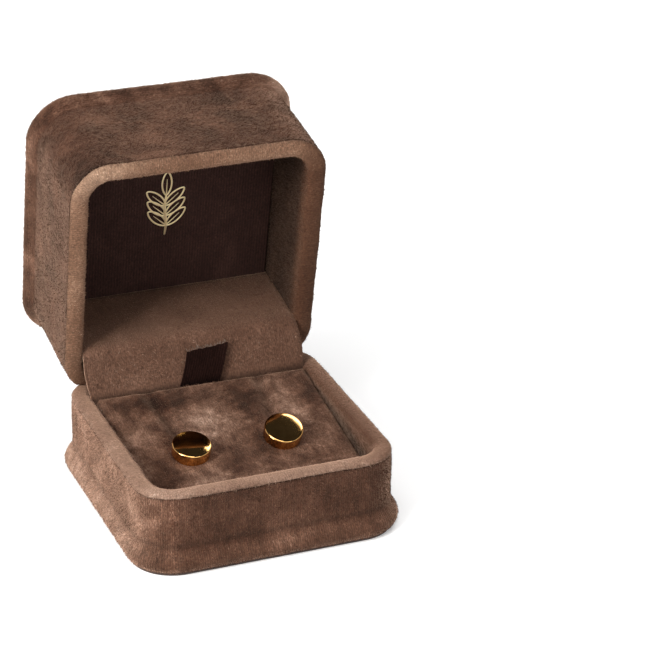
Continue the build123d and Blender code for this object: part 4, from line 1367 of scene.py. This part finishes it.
@dataclass
class Insert:
    """Sloping padded insert with its two slits, and the ribbon that lifts it out."""

    sizes: BoxSizes
    slope: float = 9.8
    front_gap: float = 0.5
    front_drop: float = 6.8
    side_gap: float = 0.6
    thickness: float = 5.5
    edge_round: float = 1.3
    front_corner: float = 3.6
    back_corner: float = 0.6
    left_slit: float = -10.4
    right_slit: float = 9.4
    left_splay: float = -2.0
    right_splay: float = 3.0
    stud_depth: float = 17.7
    nap_and_light: float = 0.3
    rows: int = 221
    columns: int = 171
    crowding: float = 0.25
    pad_patch_strength: float = 2.2
    ribbon_fold: float = 16.8
    ribbon_foot: float = 11.9
    ribbon_thickness: float = 0.32
    # Darker and lighter patches on the pad, each as x, depth, width, length and strength.
    pad_patches: tuple[tuple[float, ...], ...] = (
        (-12, 35.5, 8, 3.5, -0.8), (6.5, 33, 3.2, 6, -0.8), (20, 31, 3, 6, -0.6), (5.0, 17, 2.5, 5.5, -0.6),
        (-12.5, 21.5, 2.5, 3.5, -0.5), (-4, 26, 5, 6, 0.35), (15, 27, 4, 6, 0.2), (-17, 12, 2.5, 5, -0.35),
        (-3, 14, 3, 4, -0.3), (14, 10, 5, 3, -0.25), (-9, 9, 5, 2.5, 0.25),
    )
    seed: int = 71

    def half_width(self) -> float:
        """Half the insert's width."""
        return self.sizes.wall_width / 2 - self.sizes.wall_thickness - self.side_gap

    def to_world(self, x: np.ndarray, along: np.ndarray, up: np.ndarray) -> np.ndarray:
        """Places in the sloping plane, from its front edge, taken to the box's frame."""
        c, s = math.cos(math.radians(self.slope)), math.sin(math.radians(self.slope))
        front = -self.sizes.wall_depth / 2 + self.sizes.wall_thickness + self.front_gap
        level = self.sizes.rim - self.front_drop
        return np.stack((x, front + along * c - up * s, level + along * s + up * c), -1)

    def pad(self) -> bpy.types.Object:
        """Padded velvet: a crowned height field with rolled edges, two soft slits and dimples.

        Columns are drawn sideways to follow the slits. A slit is a narrow bell cut between two
        low shoulders, from the back edge to its stud.

        Returns:
            The piece.
        """
        half = self.half_width()
        front = -self.sizes.wall_depth / 2 + self.sizes.wall_thickness + self.front_gap
        length = (self.sizes.pad_back - 0.1 - front) / math.cos(math.radians(self.slope)) + 0.12
        even_x, even_y = np.linspace(-1, 1, self.rows)[:, None], np.linspace(0, 1, self.columns)[None]
        share_x = self.crowding * np.sin(even_x * math.pi / 2) + (1 - self.crowding) * even_x
        share_y = self.crowding * (1 - np.cos(math.pi * even_y)) / 2 + (1 - self.crowding) * even_y
        along = np.broadcast_to(length * share_y, (self.rows, self.columns)).copy()
        from_front, from_back = along, length - along

        def corner(distance: np.ndarray, radius: float) -> np.ndarray:
            rest = np.clip(radius - distance, 0, radius)
            return radius - np.sqrt(np.maximum(radius**2 - rest**2, 0))

        side = half - corner(from_front, self.front_corner) - corner(from_back, self.back_corner)
        x = share_x * side
        back_share = np.clip((along - self.stud_depth) / (length - self.stud_depth), 0, 1)
        groove, shoulder = np.zeros_like(x), np.zeros_like(x)
        for start, splay in ((self.left_slit, self.left_splay), (self.right_slit, self.right_splay)):
            shift = splay * back_share**1.15
            x = x + shift * bump(x - start, 4.5)
            off = x - start - shift
            open_part = np.clip((along - self.stud_depth + 1.0) / 4.0, 0, 1)
            groove += open_part * bump(off, 0.7 + 1.0 * back_share)
            shoulder += open_part * bump(np.abs(off) - 2.2, 1.2)
        edge = np.minimum(np.minimum(from_front, from_back), (side - np.abs(share_x * side)))
        inside = np.clip(self.edge_round - edge, 0, self.edge_round)
        roll = self.edge_round - np.sqrt(np.maximum(self.edge_round**2 - inside**2, 0))
        cushion = 0.45 * (1 - share_x**2) * np.clip(4 * share_y * (1 - share_y), 0, 1)
        cushion += 0.3 * (1 - share_x) * share_y**3
        dimple = 0.35 * (bump(np.hypot(x - self.left_slit, along - self.stud_depth), 4.2)
                         + bump(np.hypot(x - self.right_slit, along - self.stud_depth), 4.2))
        flat = np.stack((x, along, np.zeros_like(x)), -1)
        wave = 0.12 * ripple(flat, 9.0, self.seed) + 0.035 * ripple(flat, 2.5, self.seed + 1)
        calm = 1 - inside / self.edge_round
        up = cushion - roll - dimple * calm - 0.8 * groove * calm + 0.16 * shoulder * calm + wave * calm
        back_y = self.sizes.pad_back + 0.05
        top, bottom = self.to_world(x, along, up), self.to_world(x, along, np.full_like(x, -self.thickness))
        for face in (top, bottom):
            face[..., 1] = np.minimum(face[..., 1], back_y)
        ragged = 0.35 * ripple(flat, 3.0, self.seed + 8) + 0.25 * ripple(flat, 1.2, self.seed + 9)
        pad_patch_tone = self.nap_and_light + self.pad_patch_strength * sum(
            strength * bump(np.hypot((x - at_x) / wide, (along - at) / long) + ragged, 1)
            for at_x, at, wide, long, strength in self.pad_patches
        )
        shade = np.clip(0.4 * groove + 0.6 * (roll / self.edge_round), 0, 1)
        surfaces = slab(top, bottom, painted_shade=shade, nap_and_light=pad_patch_tone)
        pad = build_piece("insert_velvet_pad", surfaces, PAD_VELVET)
        stand_pile("insert_pad_pile", surfaces[0], slice(0, None), PAD_VELVET, "insert")
        place(pad, "insert", "velvet", ["insert_cover", "insert_foam"])
        return pad

    def ribbon(self) -> bpy.types.Object:
        """Ribbon: up behind the pad, then leaning back and to the right, with a frayed end.

        Returns:
            The piece.
        """
        back = self.sizes.pad_back
        low = self.ribbon_fold
        path = rounded_path([
            (back + 0.55, low, 0), (back + 0.55, 18.0, 1.0), (back + 2.3, 21.4, 1.0), (back + 4.15, 24.0, 0),
        ], step=0.3)
        run = run_along(path, False)
        way, normal = ways_along(path)
        above = np.clip((path[:, 1] - 17.5) / 6.5, 0, 1)
        middle = -0.15 + 2.9 * above
        half = 4.4 + 0.2 * above
        across = np.linspace(-1, 1, 61)[:, None]
        sheet = across_path(middle + across * half, path)
        wave = 0.08 * ripple(sheet, 5.0, self.seed + 3) * above + 0.12 * above * across**2
        end = 0.22 * ripple(sheet, 1.6, self.seed + 4) * bump(run - run[-1], 0.9)
        slant = -0.5 * above * (1 - across) / 2
        sheet[..., 1:] += normal * wave[..., None] + way * (end + slant)[..., None]
        under = sheet.copy()
        under[..., 1:] -= normal * self.ribbon_thickness
        # Painted shade low on the ribbon, where it goes down into the gap behind the pad.
        dark = 0.7 * bump(path[:, 1] - 17.2, 1.0)
        ribbon = build_piece("insert_pull_ribbon", slab(sheet, under, painted_shade=dark), RIBBON_CLOTH)
        place(ribbon, "insert", "ribbon", ["pull_ribbon"])
        fray = build_piece("insert_ribbon_threads", self.threads(sheet[:, -1]), FRAYED_THREAD)
        drop = np.linspace(0, low - self.ribbon_foot, 15)[:, None] * (0, 0, 1.0)
        tail = sheet[:, :1] - drop
        tail_back = tail + (0, self.ribbon_thickness, 0)
        tail_piece = build_piece("insert_ribbon_tail", slab(tail, tail_back), RIBBON_CLOTH)
        for piece in (fray, tail_piece):
            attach(piece, "insert")
        for piece in (ribbon, fray):
            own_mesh(piece)
        return ribbon

    def threads(self, edge: np.ndarray) -> list[Surface]:
        """Short threads along the ribbon's end: thin tapered tubes that lean at random.

        Args:
            edge: (n, 3) points of the ribbon's end.

        Returns:
            One surface per thread.
        """
        draw = np.random.default_rng(self.seed + 6)
        surfaces = []
        for index in np.linspace(1, len(edge) - 2, 44).astype(int):
            length, lean, tilt = draw.uniform(0.2, 0.75), draw.normal(0, 0.45), draw.normal(0, 0.3)
            run = np.linspace(0, 1, 5)[:, None]
            way = np.array((math.sin(lean), 0.55 + tilt, math.cos(lean)))
            bow = draw.normal(0, 0.18, 3)
            line = edge[index] + length * (run * way + run**2 * bow)
            turn = np.linspace(0, 2 * math.pi, 4, endpoint=False)
            ring = np.stack((np.cos(turn), np.sin(turn), np.zeros(4)), 1)
            radius = 0.075 * (1 - 0.6 * run)
            points = line[:, None] + radius[..., None] * ring
            points[[0, -1]] = points[[0, -1]].mean(1, keepdims=True)
            surfaces.append(Surface(points, run[:, 0], np.arange(5.0), False, True))
        return surfaces

    def build(self) -> list[bpy.types.Object]:
        """Makes the pad and its ribbon."""
        return [self.pad(), self.ribbon()]


@dataclass
class Stud:
    """Flat round gold stud with its post, turned about its own leaning axis."""

    side: str
    dome: float
    dome_power: float
    radius: float = 4.0
    height: float = 2.5
    edge: float = 0.2
    edge_round: float = 0.26
    post_radius: float = 0.45
    post_length: float = 10.2

    def build(self) -> bpy.types.Object:
        """Places the turned stud by its node's box and its joint's axis.

        Returns:
            The piece.
        """
        joint = next(j for j in frame["joints"] if j["name"] == f"{self.side}_stud_pull")
        axis = np.array(joint["axis"], float)
        points = node_points(f"{self.side}_stud")
        along = points @ axis
        disc_top = along.max()
        rim = points[along > disc_top - self.edge - 0.01]
        centre = (rim.min(0) + rim.max(0)) / 2
        origin = centre + axis * (disc_top - self.height - centre @ axis)
        out = np.linspace(0, self.radius - 2 * self.edge_round, 14)
        top = [(r, self.height + self.dome * (1 - (r / self.radius) ** self.dome_power), 0) for r in out]
        corners = top + [
            (self.radius, self.height, self.edge_round), (self.radius, 0, self.edge_round),
            (self.post_radius + 0.35, 0, 0.3), (self.post_radius, -0.35, 0.3),
            (self.post_radius, -self.post_length, 0.3), (0, -self.post_length, 0),
        ]
        path = rounded_path(corners, step=0.35)
        turn = np.linspace(0, 2 * math.pi, 128, endpoint=False)
        across = np.array((1.0, 0.0, 0.0))
        upright = np.cross(axis, across)
        ring = np.cos(turn)[:, None] * across + np.sin(turn)[:, None] * upright
        turned = origin + path[None, :, :1] * ring[:, None] + path[None, :, 1:] * axis
        run = np.append(turn, 2 * math.pi) * self.radius
        surface = Surface(turned, run, run_along(path, False), True)
        piece = build_piece(f"{self.side}_gold_stud", [surface], GOLD_PLATE)
        return place(piece, f"{self.side}_earring", "gold", [f"{self.side}_stud"])


@dataclass
class Framework:
    """CAD nodes that stay as they are and only get their finish."""

    finishes: dict[str, tuple[Finish, Sequence[str]]] = field(default_factory=lambda: {
        "shell_plastic": (MOULDED_SHELL, ["base_shell", "lid_shell"]),
        "card": (GREY_CARD, [
            "underside_board", "riser_frame", "insert_card", "lid_panel_board", "lid_flap_board",
            "lid_top_board",
        ]),
        "hinge_steel": (SPRING_STEEL, [
            "hinge_base_leaf", "hinge_lid_leaf", "hinge_base_rivets", "hinge_lid_rivets", "hinge_pin",
            "snap_spring",
        ]),
        "gold": (GOLD_PLATE, ["left_clutch", "right_clutch"]),
    })

    def dress(self) -> list[bpy.types.Object]:
        """Gives each node its material.

        Returns:
            The nodes' objects.
        """
        dressed = []
        for slot, (finish, nodes) in self.finishes.items():
            for node in nodes:
                piece = frame["nodes"][node]
                piece.data.materials.clear()
                piece.data.materials.append(finish.material())
                dressed.append(piece)
        return dressed


@dataclass
class Studio:
    """Pale floor, soft lamps and the camera at the photograph's angle."""

    floor_size: float = 3.0
    camera_place: Triple = (-0.1667, -0.4470, 0.2678)
    camera_right: Triple = (0.9254, -0.3784, 0.0192)
    camera_up: Triple = (0.1477, 0.4070, 0.9013)
    camera_back: Triple = (-0.3489, -0.8313, 0.4326)
    lens: float = 145.5
    ambient: float = 0.4

    def floor(self) -> bpy.types.Object:
        """Large flat floor under the felt.

        Returns:
            The floor.
        """
        half = self.floor_size / 2 / MM
        grid = np.array([[(-half, -half, 0), (-half, half, 0)], [(half, -half, 0), (half, half, 0)]], float)
        surface = Surface(grid, np.array((0.0, 1.0)), np.array((0.0, 1.0)))
        floor = build_piece("studio_floor", [surface], PaleFloor("pale_floor"))
        return floor

    def lamp(self, name: str, place_m: Triple, size: float, watts: float,
             colour: Colour = (1.0, 1.0, 1.0)) -> None:
        """Square area lamp that faces the middle of the box."""
        data = bpy.data.lights.new(name, "AREA")
        data.size, data.energy, data.color = size, watts, colour
        lamp = bpy.data.objects.new(name, data)
        lamp.location = place_m
        way = Vector((0, 0.01, 0.03)) - lamp.location
        lamp.rotation_euler = way.to_track_quat("-Z", "Y").to_euler()
        bpy.context.scene.collection.objects.link(lamp)

    def world(self) -> None:
        """Even pale surroundings for the light, white to the camera, and dimmer overhead in reflections."""
        world = bpy.data.worlds.new("studio")
        bpy.context.scene.world = world
        world.use_nodes = True
        world.node_tree.nodes.clear()
        sheet = Sheet(world.node_tree)
        height = sheet.add("SeparateXYZ", {0: sheet.add("TexCoord").outputs["Generated"]}).outputs[2]
        rays = sheet.add("LightPath").outputs
        mirrored = sheet.spread(height, 0.35, 0.8, 1.0, 0.03)
        seen = sheet.math("MAXIMUM", rays["Is Camera Ray"], rays["Is Transmission Ray"])
        change = sheet.math("SUBTRACT", mirrored, self.ambient)
        strength = sheet.math("MULTIPLY_ADD", rays["Is Glossy Ray"], change, self.ambient)
        strength = sheet.math("MAXIMUM", strength, seen)
        background = sheet.add("Background", {"Color": (1.0, 1.0, 1.0, 1.0), "Strength": strength})
        sheet.add("OutputWorld", {"Surface": background.outputs[0]})

    def camera(self) -> None:
        """Camera fitted to the photograph."""
        data = bpy.data.cameras.new("camera")
        data.lens, data.sensor_width, data.clip_start, data.clip_end = self.lens, 36.0, 0.02, 10.0
        camera = bpy.data.objects.new("camera", data)
        axes = (Vector(self.camera_right), Vector(self.camera_up), Vector(self.camera_back))
        turn = Matrix(axes).transposed().to_quaternion().normalized()
        camera.matrix_world = Matrix.Translation(self.camera_place) @ turn.to_matrix().to_4x4()
        bpy.context.scene.collection.objects.link(camera)
        bpy.context.scene.camera = camera

    def build(self) -> None:
        """Sets up the floor, the lamps, the surroundings and the camera."""
        self.floor()
        self.lamp("key_lamp", (-0.64, -0.28, 0.42), 0.36, 9.0, (1.0, 0.98, 0.95))
        self.lamp("fill_lamp", (0.10, -0.75, 0.45), 0.6, 1.8, (1.0, 0.99, 0.98))
        self.lamp("top_lamp", (-0.15, -0.25, 0.85), 0.5, 2.9)
        self.lamp("crescent_lamp", (0.47, 0.27, 0.73), 0.15, 0.12)
        self.lamp("glint_lamp", (0.49, 0.37, 0.66), 0.29, 1.2)
        self.world()
        self.camera()
        bpy.context.scene.view_settings.view_transform = "Standard"


@dataclass(frozen=True)
class PaleFloor(Finish):
    """White floor that keeps the object's shadow and shows white to the camera."""

    name: str
    glow: float = 0.22

    def shader(self, sheet: Sheet) -> bpy.types.Node:
        """Matt white with a little glow for camera, mirror and glass rays."""
        rays = sheet.add("LightPath").outputs
        seen = sheet.math("MAXIMUM", rays["Is Camera Ray"], rays["Is Glossy Ray"])
        seen = sheet.math("MAXIMUM", seen, rays["Is Transmission Ray"])
        glow = sheet.math("MULTIPLY", seen, self.glow)
        inputs = {
            "Base Color": (0.93, 0.93, 0.93, 1.0), "Roughness": 0.9, "Specular IOR Level": 0.0,
            "Emission Color": (1.0, 1.0, 1.0, 1.0), "Emission Strength": glow,
        }
        return sheet.add("BsdfPrincipled", inputs)


def main() -> None:
    """Builds the box's pieces in order, then the studio."""
    logging.basicConfig(level=logging.INFO, format="%(name)s: %(message)s")
    sizes = BoxSizes.from_frame()
    Base(sizes, Side.BASE).build()
    Lid(sizes, Side.LID).build()
    HingeStrip(sizes).build()
    Insert(sizes).build()
    Stud("left", dome=0.38, dome_power=2.4).build()
    Stud("right", dome=0.18, dome_power=3.0).build()
    Framework().dress()
    Studio().build()


if __name__ == "__main__":
    main()
